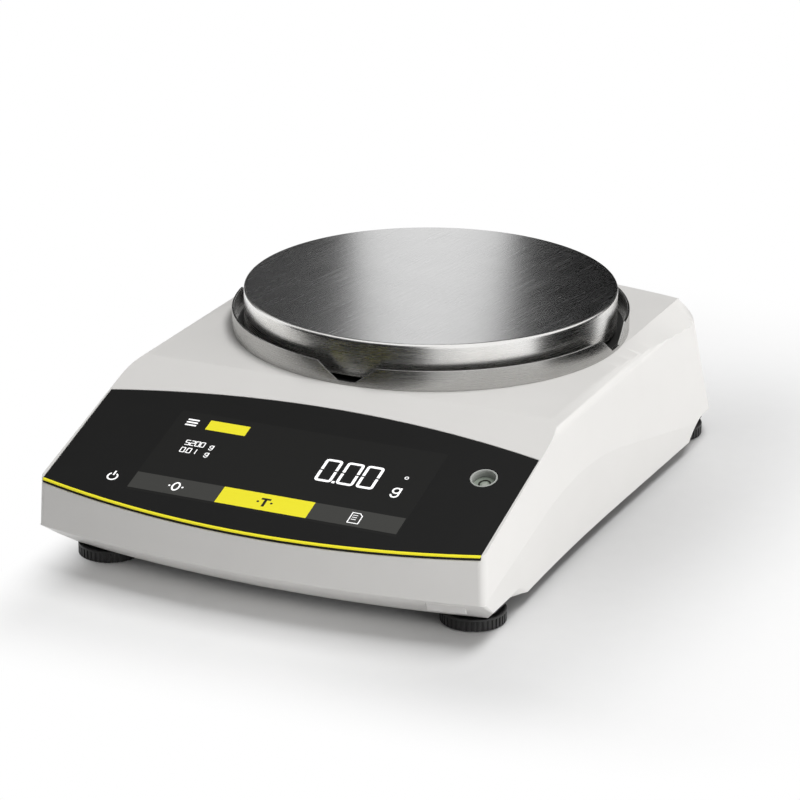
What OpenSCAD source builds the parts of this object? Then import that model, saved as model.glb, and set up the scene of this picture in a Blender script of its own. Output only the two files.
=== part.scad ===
// Precision balance with a round pan, a sloped touch display and four levelling feet.
// Millimetres, X to the right, Y to the rear, Z up, origin on the bench under the middle.

/* [Housing] */
// Depth from the chin crease to the foot of the rear wall
body_d = 326; // [306:1:351]
// Half width at the top edge of the sides
top_half_w = 107.8; // [105:0.1:116]
// How far each side leans out from the deck down to the chin crease
side_lean = 2.2; // [1:0.1:4]
// Height of the deck
deck_z = 75; // [72:0.5:84]
// Height of the bottom edge
base_z = 6.5; // [6:0.1:8]
// Wall thickness
wall = 2.6; // [2:0.1:3.2]
// Radius of the front in plan
front_r = 520; // [420:5:640]
// Height of the crease above the chin
chin_z = 22; // [20:0.5:29]
// How far the chin runs back below its crease
chin_back = 23; // [14:0.5:28]
// How far the front leans back up to the display
front_lean = 1; // [0.5:0.1:3]
// Radius of the upright front corners
front_corner_r = 3.5; // [1.5:0.5:11]
// Radius of the rear in plan
rear_r = 408; // [350:2:520]
// How far the rear wall leans in up to the deck
rear_lean = 27; // [8:0.5:30]
// Radius of the upright rear corners
rear_corner_r = 15; // [6:0.5:20]
// Distance from the bend in the deck to the front of the draft shield
bend_gap = 0.2; // [0.1:0.1:4]
// Slope of the display face in degrees
slope = 18; // [15:0.5:20]
// Distance from the top of the rear wall to the draft shield
rear_margin = 2.2; // [1:0.1:6]
// Radius of the deck's edge along the sides
roll_r = 6; // [3:0.5:8]
// Drop of the deck's side bevel at the rear
bevel_drop = 10.6; // [4:0.2:12]
// Start of the side bevel, ahead of the pan axis
bevel_ahead = 40; // [0:1:60]
// Drop of the cavity's ceiling towards the sides
shoulder = 16; // [13:0.5:22]

/* [Side crease] */
// Height of the crease at its peak
arch_peak = 43.4; // [36:0.2:50]
// Distance of the peak behind the front
arch_back = 126; // [96:1:156]
// Radius of the bend at the peak
arch_r = 220; // [150:5:320]
// Slope of the crease past the bend in degrees
arch_slope = 13; // [8:0.5:15]
// Inward slope of the side below the crease
side_tuck = 0.08; // [0.04:0.01:0.12]
// Height of the finger scoops at the side
scoop_z = 13.3; // [11:0.1:15]
// Depth of the finger scoops from the side inwards
scoop_w = 6; // [4:0.2:7]
// How far a finger scoop reaches inside the wall at the bottom edge
scoop_bite = 1.3; // [0.5:0.1:2]
// Radius of the end of a finger scoop
scoop_r = 29; // [20:1:40]
// Distance from a foot's axis to where the end of its scoop starts
scoop_past = 9.5; // [6:0.5:14]

/* [Display] */
// Distance from the glass to the housing's sides
glass_in = 0.5; // [0.4:0.1:8]
// Thickness of the glass
glass_t = 1.2; // [1:0.1:2.4]
// Thickness of the gasket under the glass
gasket_t = 0.9; // [0.5:0.1:1.5]
// How far the gasket stays behind the strip
gasket_back = 0.3; // [0.2:0.1:1]
// Depth of the accent strip from front to rear
strip_d = 0.8; // [0.6:0.1:2.8]
// Radius of the glass's rear edge in plan
glass_rear_r = 517; // [420:1:620]
// Distance from the glass to the bend in the deck
glass_rear_gap = 16.8; // [8:0.2:24]
// Distance from the display module's corners down to the front edge
screen_front = 9.5; // [8:0.5:15]
// Distance from the module up to the bend
screen_back = 35.5; // [33:0.5:40]
// Thickness of the display module
screen_t = 4.1; // [3.6:0.1:5]
// Room around the display module
screen_gap = 0.5; // [0.3:0.1:1]
// Margin of the display board beyond the module at the sides
board_side = 9; // [8.5:0.5:10]
// Gap between the display board and the level
board_gap = 4.2; // [2:0.1:12]
// Margin of the display board beyond the module at the ends
board_end = 4; // [2:0.5:5]
// Thickness of the circuit boards
pcb_t = 1.6; // [1.2:0.1:2]
// Radius of the pads that carry the display board
pad_r = 3.5; // [2.5:0.1:3.8]

/* [Level] */
// Distance of the level from the top edge of the side
level_in = 19.5; // [16:0.1:24]
// Distance from the level up to the bend
level_back = 47.2; // [40:0.2:54]
// Radius of the hole in the glass
level_hole_r = 6.5; // [5.5:0.1:7]
// Radial gap round the level cup
level_gap = 0.3; // [0.2:0.05:0.6]
// Wall of the level cup
cup_wall = 0.8; // [0.6:0.1:1.2]
// Depth of the vial's top below the glass
vial_deep = 3.6; // [3:0.1:4]
// Height of the vial
vial_h = 1.8; // [1.4:0.1:2.4]
// Width of the cup's flange
cup_flange = 1.6; // [1:0.1:2]

/* [Pan and draft shield] */
// Radius of the pan
pan_r = 90; // [84:0.5:94]
// Height of the pan's top
pan_z = 95.5; // [93:0.5:104]
// Height of the pan's skirt
pan_h = 18; // [12:0.5:18.2]
// Sheet thickness of the pan
pan_t = 1.2; // [0.8:0.1:2]
// Radius of the pan's edge
pan_edge_r = 1.8; // [1.2:0.1:3]
// Gap from the pan to the draft shield's outside
ring_gap = 5.8; // [4.5:0.1:8]
// Height of the draft shield
ring_h = 9.9; // [8:0.1:13]
// Sheet thickness of the draft shield
ring_t = 1; // [0.8:0.1:1.6]
// Width of the shield's foot flange
ring_foot = 1.5; // [1:0.1:2.4]
// Half angle of a shield notch at its mouth in degrees
notch_mouth = 9.2; // [6:0.2:14]
// Half angle of a shield notch at its floor in degrees
notch_floor = 2.6; // [1:0.2:4]
// Metal left under a shield notch
notch_left = 1.7; // [1.2:0.1:3]
// Number of arms under the pan
arm_count = 4; // [3:1:6]
// Length of a pan support arm
arm_len = 70; // [50:1:76]
// Width of a pan support arm
arm_w = 11; // [9:0.5:16]
// Thickness of a pan support arm
arm_t = 4; // [3:0.2:5]
// Radius of a pan bumper
bumper_r = 5; // [3:0.2:5.4]
// Height of a pan bumper
bumper_h = 4; // [2:0.2:5]
// Radius of the pan support's hub
hub_r = 9; // [7.5:0.2:14]
// Height of the pan support's hub
hub_h = 8; // [6:0.5:9]
// Metal over the load pin in the hub
hub_roof = 2; // [1.5:0.1:2.5]
// Room above the load pin in the hub
pin_room = 1; // [0.5:0.1:1.5]
// Distance of a bumper from the end of its arm
bumper_in = 1; // [0.5:0.1:3]

/* [Weigh cell] */
// Radius of the load post
post_r = 7; // [6:0.2:9]
// Radius of the load pin on the post
pin_r = 4.5; // [3:0.1:5.5]
// Gap between the post and the deck
post_gap = 3; // [2:0.2:5]
// Height of the posts under the cell
cell_post_h = 6.5; // [5:0.5:8]
// Radius of the posts under the cell
cell_post_r = 5; // [4:0.2:6]
// Thickness of the cell's base plate
plate_t = 5; // [4:0.5:6]
// Half width of the cell's base plate
plate_half_w = 35; // [34:0.5:36]
// Half width of the parallel guides
guide_half_w = 30; // [28:0.5:32]
// Thickness of the parallel guides
guide_t = 1.2; // [0.8:0.1:1.6]
// Height between the parallel guides
guide_span = 36; // [33:0.5:37]
// Gap over and under a guide in its slots
guide_gap = 0.1; // [0.08:0.01:0.2]
// How far the guides' ends stay behind the outer faces
guide_bite = 2; // [1:0.5:4]
// Half width of the opening in the guides
guide_open = 21; // [20.5:0.1:22]
// Depth of the load carrier
carrier_d = 14; // [12:0.5:16]
// Thickness of the bars over and under the guides
bar_t = 3; // [2:0.2:4]
// Width of the bars at the ends of the guides' openings
end_bar = 3; // [2:0.2:4]
// Half width of the opening through the load carrier
carrier_open = 14; // [12:0.5:15]
// Height of the bar above that opening
carrier_bar = 4; // [3:0.2:5]
// Distance of a cradle prong from the middle
prong_x = 18; // [17.5:0.5:19]
// Width of a cradle prong
prong_w = 4; // [3:0.2:5]
// Height of a cradle prong
prong_h = 4; // [3:0.2:5]
// Reach of the prongs ahead of the weight's axis
prong_ahead = 7; // [5:0.5:8]
// Distance of the cell screws from the plate's sides
cell_screw_in = 7; // [6:0.5:8]
// Distance of the front cell screws ahead of the carrier
cell_screw_front = 6; // [5:0.5:8]
// Distance of the rear cell screws ahead of the tower
cell_screw_rear = 8; // [6:0.5:10]
// Metal between the front posts and the plate's edge
plate_rim = 1; // [0.5:0.1:2]
// Distance from the pan axis to the tower
tower_back = 81; // [80:0.5:86]
// Depth of the tower
tower_d = 14; // [10:0.5:15]
// Gap at the overload stops
stop_gap = 0.4; // [0.35:0.05:0.8]
// Height of the overload stops' heads
stop_h = 1.6; // [1.2:0.1:2]
// Distance of an overload stop from the middle
stop_x = 18; // [14:0.5:22]
// Height of the lever above the base plate
lever_up = 23; // [22:0.5:25]
// Height of the lever
lever_h = 4; // [3:0.2:5]
// Half width of the lever
lever_half_w = 4; // [3:0.1:4.6]
// Distance from the pan axis to the lever's pivot
pivot_back = 22; // [20:0.5:24]
// Radius of the lever's pivot pin
pivot_r = 2; // [1.2:0.1:2.2]
// Gap from the lever to the pivot cheeks
cheek_gap = 1.5; // [1:0.1:2]
// Thickness of a pivot cheek
cheek_t = 5; // [3:0.2:6]
// Length of a pivot cheek along the lever
cheek_d = 10; // [8:0.5:12]
// Thickness of the coupling strip
link_t = 0.6; // [0.4:0.1:1]
// Half width of the coupling strip
link_half_w = 3; // [2:0.1:3.6]
// Reach of the tab that carries the strip
tab_d = 1.4; // [1:0.1:2]
// Gap between the strip and the lever's end
link_gap = 0.2; // [0.15:0.05:0.3]
// Outer radius of the coil
coil_r = 13; // [12:0.2:13.4]
// Winding depth of the coil
coil_wind = 2.5; // [1.5:0.1:3]
// Height of the coil
coil_h = 8; // [6:0.5:9]
// Thickness of the coil's bobbin plate
bobbin_t = 2; // [1.5:0.1:2.5]
// Gap between the bobbin plate and the lever
bobbin_drop = 1; // [0.5:0.1:1.5]
// Radial gap between the coil and the magnet
air_gap = 1.5; // [1.3:0.1:2]
// Wall of the magnet pot
pot_wall = 4.5; // [3:0.2:5]
// Height of the magnet pot
pot_h = 16; // [14:0.5:16.5]
// Floor of the magnet pot
pot_floor = 3; // [2:0.2:4]
// Depth of the pole's top below the pot's rim
pole_down = 1; // [0.5:0.1:2]
// Gap between the magnet pot and the guides' rear bars
pot_clear = 1; // [0.5:0.1:2]
// Half width of the position sensor
sensor_half_w = 6; // [5:0.2:8]
// Depth of the position sensor
sensor_d = 8; // [6:0.5:9]
// Height of the position sensor above the lever's middle
sensor_up = 8; // [6:0.5:9]
// Gap between the position sensor and the magnet pot
sensor_gap = 1; // [0.5:0.1:1.5]
// Metal under the slot in the position sensor
sensor_floor = 2; // [1:0.1:2.4]
// Wall behind that slot
sensor_wall = 1; // [0.6:0.1:2]
// Gap between the lever's broad part and the sensor
lever_short = 2; // [1:0.1:4]
// How far the vane is let into the lever
vane_root = 1; // [0.5:0.1:3]
// Half width of the lever's vane
vane_half_w = 1.2; // [0.6:0.1:1.6]
// Gap beside the vane
vane_gap = 1.2; // [0.8:0.1:1.6]

/* [Calibration weight] */
// Distance of the weight ahead of the pan axis
weight_ahead = 21; // [20:0.5:24]
// Height of the weight's axis above the base plate
weight_up = 25; // [24.5:0.5:27]
// Radius of the weight
weight_r = 8; // [6:0.2:8.4]
// Half length of the weight
weight_half_l = 22; // [18:0.5:24]
// Radius of the weight's end pins
weight_pin_r = 2.5; // [1.5:0.1:3]
// Travel of the weight
weight_travel = 3; // [2:0.2:4]
// Clearance between the lowered weight and its cradle
cradle_gap = 0.5; // [0.4:0.1:1]
// Thickness of the fork's cheeks
fork_t = 4; // [3:0.2:5]
// Gap from the weight's end to a fork cheek
fork_gap = 5; // [4:0.2:6]
// Height of the carriage beam
beam_h = 5; // [4:0.2:6]
// Height of the weight's axis above the beam's underside
beam_drop = 10; // [9:0.5:11]
// Gap between the weight and the beam
beam_gap = 2.5; // [1.5:0.1:4]
// Height of the fork's cheeks above the weight's axis
fork_up = 1; // [0.6:0.1:1.4]
// Metal behind the weight's pins
fork_rear = 3; // [2:0.1:4]
// Distance of the lift screw ahead of the weight's axis
rail_ahead = 7; // [6:0.5:8]
// Distance of the lift screw from the middle
lift_x = 50; // [48:0.5:54]
// Radius of the lift screw
lift_r = 3; // [2:0.1:3.4]
// Length of the lift screw
lift_len = 38; // [32:0.5:42]
// Width of the lift screw's collar
lift_collar = 3; // [2:0.1:4]
// Height of the lift screw's collar
lift_collar_h = 2; // [1:0.1:3]
// Wall of the lift nut
nut_wall = 4; // [3:0.2:5]
// Height of the lift nut above the beam
nut_up = 3; // [2:0.2:4]
// Radius of the lift motor
motor_r = 10; // [8:0.2:10.5]
// Height of the lift motor
motor_h = 12.5; // [10:0.5:14]
// Distance from the lift screw to its guide rod
rod_x = 14; // [12:0.5:18]
// Radius of the guide rod
rod_r = 2.5; // [1.5:0.1:3]
// Metal round the guide rod
rod_wall = 2.5; // [2:0.1:4]

/* [Boards and ports] */
// Gap between the main board and the screw pads
main_side = 2.5; // [1:0.1:6]
// Length of the main board
main_len = 156; // [130:1:160]
// Gap between the main board and the cell's base plate
main_in = 6; // [3:0.5:8]
// Distance from the main board to the power inlet
main_rear = 26; // [20:0.5:40]
// Height of the main board's posts
main_up = 10.5; // [8:0.5:13]
// Radius of the main board's posts
main_post_r = 3; // [2:0.1:4]
// Distance of the main board's posts from its edges
main_post_in = 4; // [3:0.1:5]
// Height of the connectors on the boards
conn_h = 4.6; // [3:0.2:6]
// Length of the connectors on the boards
conn_d = 8; // [6:0.5:10]
// How far a connector reaches beyond the ribbon at each side
conn_side = 1; // [0.5:0.1:2]
// Distance of the main connector from the board's front edge
conn_in = 1; // [0.5:0.1:2]
// Width of the chips on the main board
chip_w = 11; // [8:0.5:12]
// Height of the chips on the main board
chip_h = 2; // [1:0.1:3]
// Width of the ribbon cable
ribbon_w = 20; // [14:0.5:24]
// Thickness of the ribbon cable
ribbon_t = 0.8; // [0.5:0.1:1.2]
// Distance from the display connector up to the bend
ribbon_back = 52; // [46:0.5:56]
// Distance of the power inlet from the middle
inlet_x = 60; // [56:0.5:64]
// Width of the power inlet
inlet_w = 14; // [11:0.5:16]
// Height of the power inlet
inlet_h = 12; // [9:0.5:14]
// Radius of the power inlet's bore
inlet_bore_r = 3.2; // [2.5:0.1:3.6]
// Radius of the power inlet's centre pin
inlet_pin_r = 1; // [0.6:0.1:1.3]
// Depth of the power inlet's bore
inlet_deep = 9; // [6:0.5:11]
// How far the centre pin stays behind the inlet's face
inlet_pin_in = 1; // [0.5:0.1:2]
// Distance of the data port from the middle
port_x = 44; // [42:0.5:56]
// Width of the data port
port_w = 15; // [13:0.5:18]
// Height of the data port
port_h = 8; // [7:0.2:10]
// Shell thickness of the data port
port_shell = 1; // [0.6:0.1:1.4]
// Depth of the data port's opening
port_deep = 9; // [6:0.5:11]
// Height of the sockets above the tray
socket_up = 6; // [4:0.5:8]
// Length of the sockets
socket_len = 18; // [15:0.5:20]
// How far the sockets stay inside the rear wall's outside
socket_in = 0.8; // [0.4:0.1:1.2]
// Gap round the sockets
socket_gap = 0.4; // [0.3:0.1:0.8]
// Length of the pedestals under the sockets
pedestal_d = 6.4; // [5:0.2:8]
// Distance of the pedestals ahead of the sockets' faces
pedestal_in = 6; // [5:0.2:8]

/* [Tray and feet] */
// Thickness of the tray
tray_t = 3; // [2.5:0.1:3.5]
// Gap between the tray and the housing
tray_gap = 0.45; // [0.3:0.05:0.6]
// Distance of a foot's axis inside the housing's widest line
foot_in = 19; // [17:0.2:22]
// Distance of the front feet behind the front
foot_front = 43.5; // [43:0.5:50]
// Distance of the rear feet ahead of the rear
foot_rear = 29; // [28:0.5:34]
// Radius of a foot wheel
wheel_r = 15; // [12:0.5:15]
// Height of a foot pad below its wheel
pad_out = 0.4; // [0.2:0.1:1]
// Number of grip grooves on a foot wheel
groove_count = 36; // [24:1:48]
// Radius of a grip groove
groove_r = 0.45; // [0.3:0.05:0.5]
// Gap between a wheel and the tray above it
wheel_gap = 0.7; // [0.5:0.1:1]
// Radius of a foot pad
pad_foot_r = 11; // [8:0.5:13]
// Height of a foot pad
pad_foot_h = 1.6; // [1.2:0.1:2.4]
// Radius of a foot stud
stud_r = 3; // [2.5:0.1:3.4]
// Radius of a threaded insert
insert_r = 4.6; // [4.2:0.1:5]
// Height of a threaded insert
insert_h = 17; // [12:0.5:19]
// Width of an insert's flange
insert_flange = 1.5; // [1:0.1:2]
// Thickness of an insert's flange
insert_flange_t = 1; // [0.6:0.1:1.5]
// Wall of the boss round an insert
boss_wall = 2.2; // [2:0.1:3]
// Radius of the hanger opening
hanger_r = 12; // [9:0.5:14]
// Width of the hanger cover's flange
hanger_flange = 2; // [1:0.1:3]
// Thickness of the hanger cover's flange
hanger_flange_t = 1; // [0.6:0.1:2]

/* [Fasteners and flap] */
// Distance of a housing screw inside the housing's widest line
screw_in = 18; // [17:0.2:20]
// Distance of the front housing screws behind the level
screw_front = 23.9; // [20:0.1:30]
// Distance of the rear housing screws ahead of the rear
screw_rear = 72; // [66:0.5:80]
// Shank radius of the screws
screw_r = 2; // [1.5:0.1:2.4]
// Head radius of the screws
screw_head_r = 3.8; // [3.2:0.1:4]
// Head height of the screws
screw_head_h = 2.4; // [2:0.1:2.6]
// Length of the housing screws
screw_len = 16; // [12:0.5:20]
// Radius of the housing's screw bosses
boss_r = 5.5; // [4.8:0.1:6]
// Height of the tray pads under the screw bosses
screw_pad_h = 2.5; // [2:0.1:3]
// How far those pads reach beyond the bosses
screw_pad_rim = 1; // [0.5:0.1:2]
// Depth of the housing screws' heads inside the tray
head_sink = 0.5; // [0.2:0.1:0.8]
// Room past the end of a screw
screw_room = 1; // [0.5:0.1:2]
// Length of the cell screws
cell_screw_len = 10; // [8:0.5:11]
// Width of the service flap
flap_w = 17.5; // [14:0.5:22]
// Height of the service flap
flap_h = 10; // [6:0.2:12]
// Thickness of the service flap
flap_t = 1; // [0.6:0.1:1.4]
// Angle round the front from the service flap to the side, in degrees
flap_turn = 2.1; // [1.8:0.1:4.4]
// Place of the service flap up the chin, as a share of it
flap_share = 0.7; // [0.5:0.01:0.75]

/* [Fits] */
// Gap of a round fit within one body
seat_gap = 0.05; // [0.03:0.01:0.1]
// Radial clearance of a turning or sliding fit
run_gap = 0.08; // [0.05:0.01:0.1]
// Radial gap round the screw heads
head_gap = 0.2; // [0.1:0.05:0.4]
// Gap between the glass and its recess
glass_gap = 0.25; // [0.2:0.05:0.3]
// Gap round the service flap
flap_gap = 0.3; // [0.2:0.05:0.5]

/* [Hidden] */
$fn = 96;
plan_fn = 360;
over = 1;
reach = 260;
arch_steps = 40;
bevel_steps = 14;
corner_steps = 8;
waste_reach = 3;
waste_spread = 1.6;

front_y = -body_d / 2;
rear_y = body_d / 2;
front_cy = front_y + front_r;
rear_cy = rear_y - rear_r;
rise = deck_z - base_z;
draft = side_lean / (deck_z - chin_z);
low_half_w = top_half_w + side_lean;
side_turn = asin(low_half_w / front_r);
ring_r = pan_r + ring_gap;
pan_y = rear_y - rear_lean - rear_margin - ring_r;
bend_y = pan_y - ring_r - bend_gap;
edge_r = front_r - front_lean;
glass_half_w = top_half_w - glass_in;
level_x = top_half_w - level_in;
level_y = bend_y - level_back * cos(slope);
screen_half_w = level_x - level_hole_r - cup_flange - board_gap - board_side;
screen_w = 2 * screen_half_w;
screen_edge_y = front_cy - sqrt(edge_r * edge_r - screen_half_w * screen_half_w);
screen_len = (bend_y - screen_edge_y) / cos(slope) - screen_front - screen_back;
foot_x = low_half_w - foot_in;
screw_x = low_half_w - screw_in;
recess_d = glass_t + gasket_t;
shell_d = recess_d + wall;
arch_y = front_y + arch_back;
bevel_y = pan_y - bevel_ahead;
chin_rise = chin_z - base_z;
chin_tilt = atan(chin_back / chin_rise);
chin_inset = wall / cos(chin_tilt);
front_rake = 2 * front_lean / (deck_z - chin_z);
rear_rake = rear_lean / rise;
inner_half_w = top_half_w + draft * deck_z - (draft + side_tuck) * arch_peak + side_tuck * base_z - wall;
tray_top = base_z + tray_t;
scoop_x = inner_half_w - scoop_bite;
scoop_tilt = atan((scoop_z - base_z) / scoop_w);
roll_x = top_half_w - roll_r * (sqrt(1 + draft * draft) - draft);

cell_z = tray_top + cell_post_h;
plate_top = cell_z + plate_t;
carrier_z = plate_top + stop_h + stop_gap;
low_guide_z = carrier_z + bar_t;
up_guide_z = low_guide_z + guide_span;
guide_slot = guide_t + 2 * guide_gap;
carrier_top = up_guide_z + guide_slot + bar_t;
carrier_front = pan_y - carrier_d / 2;
carrier_rear = pan_y + carrier_d / 2;
guide_front = carrier_front + guide_bite;
tower_y = pan_y + tower_back;
lever_z = plate_top + lever_up;
pivot_y = pan_y + pivot_back;
guide_rear = tower_y + tower_d - guide_bite;
plate_front = carrier_front - cell_screw_front - cell_post_r - plate_rim;
window_top = up_guide_z - carrier_bar;
link_y = carrier_rear + tab_d;
lever_front = link_y + link_t + link_gap;
lever_rear = tower_y - sensor_d - lever_short;
lever_low = lever_z - lever_h / 2;
cheek_x = lever_half_w + cheek_gap;
bobbin_z = lever_low - bobbin_drop - bobbin_t;
pole_r = coil_r - coil_wind - air_gap;
pot_in_r = coil_r + air_gap;
pot_r = pot_in_r + pot_wall;
coil_y = tower_y - end_bar - pot_clear - pot_r;
sensor_z = plate_top + pot_h + sensor_gap;
vane_end = tower_y - sensor_d / 2;
weight_y = pan_y - weight_ahead;
weight_z = plate_top + weight_up;
fork_x = weight_half_l + fork_gap;
beam_z = weight_z - beam_drop;
beam_y = weight_y - weight_r - beam_gap - beam_h;
rail_y = weight_y - rail_ahead;
cradle_top = weight_z - weight_r - weight_travel - cradle_gap;
lift_z = tray_top + motor_h;

pcb_z = tray_top + main_up;
conn_z = pcb_z + pcb_t + conn_h;
board_n = glass_t + screen_t;
conn_n = board_n + pcb_t + conn_h;
socket_z = tray_top + socket_up;
main_x = plate_half_w + main_in;
main_w = screw_x - boss_r - screw_pad_rim - main_side - main_x;
main_y = socket_face(inlet_x, inlet_w, inlet_h) - socket_len - main_rear - main_len;

wheel_h = base_z - wheel_gap - pad_out;
boss_out_r = insert_r + boss_wall;
insert_top = base_z + insert_h;
pin_z = pan_z - pan_t - bumper_h - hub_h;
pin_len = hub_h - hub_roof - pin_room;
screw_seat = base_z + screw_head_h + head_sink;
screw_pad_z = tray_top + screw_pad_h;

CHIPS = [[0.3, 0.34], [0.66, 0.5], [0.34, 0.72]];
FEET = [["fl", -1, -1], ["fr", 1, -1], ["rl", -1, 1], ["rr", 1, 1]];

// Height of the side crease along the depth
function crease_z(y) =
  let (d = abs(y - arch_y), t = arch_r * sin(arch_slope))
  d < t ? arch_peak - arch_r + sqrt(arch_r * arch_r - d * d)
        : arch_peak - arch_r * (1 - cos(arch_slope)) - (d - t) * tan(arch_slope);
// Half width of the lower side carried down to the bench
function tuck_x(y) = top_half_w + draft * deck_z - (draft + side_tuck) * crease_z(y);
// Drop of the deck's side bevel along the depth
function bevel_at(y) = bevel_drop * pow((y - bevel_y) / (rear_y - bevel_y - rear_lean - ring_gap), 1.5);
// A place on the display face, from its distance to the bend and its depth
function face_pt(t, n) = [bend_y - t * cos(slope) + n * sin(slope), deck_z - t * sin(slope) - n * cos(slope)];
// Reach of the rear wall at a height and a distance from the middle
function rear_at(x, z) =
  rear_cy + sqrt(pow(rear_r - rear_rake * (z - base_z), 2) - x * x);
// Where the face of a socket lies, from its distance to the middle, its width and its height
function socket_face(x, w, h) = rear_at(x + w / 2, socket_z + h) - socket_in;
function foot_y(f) = f[2] < 0 ? front_y + foot_front : rear_y - foot_rear;
function screw_y(f) = f[2] < 0 ? level_y + screw_front : rear_y - screw_rear;

module along_y(len) { rotate([90, 0, 0]) linear_extrude(len, center = true) children(); }
module along_x(len) { rotate([90, 0, 90]) linear_extrude(len, center = true) children(); }
module both_sides() { children(); mirror([1, 0, 0]) children(); }
module at_feet() { for (f = FEET) at_foot(f) children(); }
module at_screws() { for (f = FEET) translate([f[1] * screw_x, screw_y(f), 0]) children(); }
// Frame of the display face: x across, y up the slope from the bend, z out of the face
module on_face() { translate([0, bend_y, deck_z]) rotate([slope, 0, 0]) children(); }
module face_slab(top, bottom) {
  on_face() translate([-reach, -reach, -bottom]) cube([2 * reach, 2 * reach, bottom - top]);
}
module at_level() { on_face() translate([level_x, -level_back, 0]) children(); }
module tube(r_out, r_in, h) {
  difference() {
    cylinder(r = r_out, h = h);
    translate([0, 0, -over]) cylinder(r = r_in, h = h + 2 * over);
  }
}

// Outline outside a rounded corner between two directions
module corner_waste(r, from, to, squash) {
  far = waste_reach * r;
  mid = (from + to) / 2;
  arc = [for (i = [0:corner_steps]) let (a = from + (to - from) * i / corner_steps) r * [cos(a), sin(a)]];
  rim = [far * [cos(to), sin(to)], waste_spread * far * [cos(mid), sin(mid)], far * [cos(from), sin(from)]];
  polygon([for (p = concat(arc, rim)) [p[0], squash * p[1]]]);
}

module front_form(inset, low) {
  top = deck_z + over;
  skew = inset / cos(chin_tilt);
  turn_z = base_z + (chin_back + skew - inset) / tan(chin_tilt);
  translate([0, front_cy, 0]) rotate_extrude($fn = plan_fn) polygon([
    [0, base_z - low], [front_r - chin_back - skew - low * tan(chin_tilt), base_z - low],
    [front_r - inset, turn_z], [front_r - inset - front_rake * (top - turn_z), top], [0, top]
  ]);
}

module rear_form(inset, low) {
  top = deck_z + over;
  translate([0, rear_cy, 0]) rotate_extrude($fn = plan_fn) polygon([
    [0, base_z - low], [rear_r - inset + rear_rake * low, base_z - low],
    [rear_r - inset - rear_rake * (top - base_z), top], [0, top]
  ]);
}

// Waste at the right front corner, above and below the chin crease
module front_corner() {
  cx = low_half_w - front_corner_r;
  cy = sqrt(pow(front_r - front_corner_r, 2) - cx * cx);
  from = -atan2(cy, cx);
  translate([cx, front_cy - cy, chin_z]) {
    intersection() {
      rotate([-atan(front_rake), -atan(draft), 0]) translate([0, 0, -over]) linear_extrude(deck_z)
        corner_waste(front_corner_r, from, 0, 1);
      translate([0, -reach, 0]) cube([reach, 2 * reach, reach]);
    }
    intersection() {
      rotate([chin_tilt, atan(side_tuck), 0]) translate([0, 0, -2 * chin_z]) linear_extrude(4 * chin_z)
        corner_waste(front_corner_r, from, 0, cos(chin_tilt));
      translate([0, -reach, -reach]) cube([reach, 2 * reach, reach]);
    }
  }
}

// Waste at the right rear corner, for the outside or for the cavity inside it
module rear_corner(inset) {
  cx = low_half_w - rear_corner_r;
  cy = sqrt(pow(rear_r - rear_corner_r, 2) - cx * cx);
  tilt = atan(rear_rake * (rear_r - rear_corner_r) / cy);
  translate([cx, rear_cy + cy, base_z]) rotate([tilt, -atan(draft), 0]) translate([0, 0, -rear_corner_r])
    linear_extrude(deck_z + 2 * rear_corner_r)
      corner_waste(rear_corner_r - inset, 0, atan2(cy, cx), cos(tilt));
}

// Waste above the right side bevel, which steepens towards the rear
module bevel_waste() {
  far = top_half_w + low_half_w - ring_r;
  steep = (far - ring_r) / (top_half_w - ring_r);
  last = 4 * bevel_steps;
  ring = [for (i = [0:bevel_steps])
    let (y = bevel_y + (rear_y + over - bevel_y) * i / bevel_steps)
    each [[ring_r, y, deck_z], [far, y, deck_z - steep * bevel_at(y)], [far, y, deck_z + wall],
          [ring_r, y, deck_z + wall]]];
  sides = [for (i = [0:bevel_steps - 1], j = [0:3])
    let (a = 4 * i + j, b = 4 * i + (j + 1) % 4)
    each [[a, b, a + 4], [b, b + 4, a + 4]]];
  ends = [[2, 1, 0], [3, 2, 0], [last, last + 1, last + 2], [last, last + 2, last + 3]];
  polyhedron(ring, concat(ends, sides));
}

// Waste outside the rounded right edge of the deck
module roll_waste() {
  far = roll_x + 2 * roll_r;
  along_y(2 * reach) difference() {
    polygon([[roll_x, deck_z - roll_r], [roll_x, deck_z + over], [far, deck_z + over],
      [far, deck_z - roll_r + (far - roll_x) * draft]]);
    translate([roll_x, deck_z - roll_r]) circle(r = roll_r);
  }
}

// The side below its crease, as a wide block that ends at the right side
module tuck_form() {
  lean = atan(side_tuck);
  y0 = front_y - wall;
  y1 = rear_y + wall;
  edge = [for (i = [0:arch_steps]) let (y = y0 + (y1 - y0) * i / arch_steps) [tuck_x(y) * cos(lean), y]];
  rotate([0, lean, 0]) translate([0, 0, -deck_z]) linear_extrude(3 * deck_z)
    polygon(concat(edge, [[-reach, y1], [-reach, y0]]));
}

module housing_form() {
  difference() {
    intersection() {
      along_y(2 * reach) polygon([
        [-top_half_w, deck_z], [-top_half_w - draft * rise, base_z],
        [top_half_w + draft * rise, base_z], [top_half_w, deck_z]
      ]);
      tuck_form();
      mirror([1, 0, 0]) tuck_form();
      front_form(0, 0);
      rear_form(0, 0);
    }
    both_sides() {
      front_corner();
      rear_corner(0);
      bevel_waste();
      roll_waste();
    }
    on_face() translate([-reach, -2 * reach, 0]) cube([2 * reach, 2 * reach, reach]);
  }
}

module cavity() {
  top = deck_z - wall;
  difference() {
    intersection() {
      along_y(2 * reach) polygon([
        [-inner_half_w, base_z - over], [inner_half_w, base_z - over], [inner_half_w, top - shoulder],
        [inner_half_w - shoulder, top], [shoulder - inner_half_w, top], [-inner_half_w, top - shoulder]
      ]);
      front_form(wall, over);
      rear_form(wall, over);
      face_slab(shell_d, reach);
    }
    both_sides() rear_corner(wall);
  }
}

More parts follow.
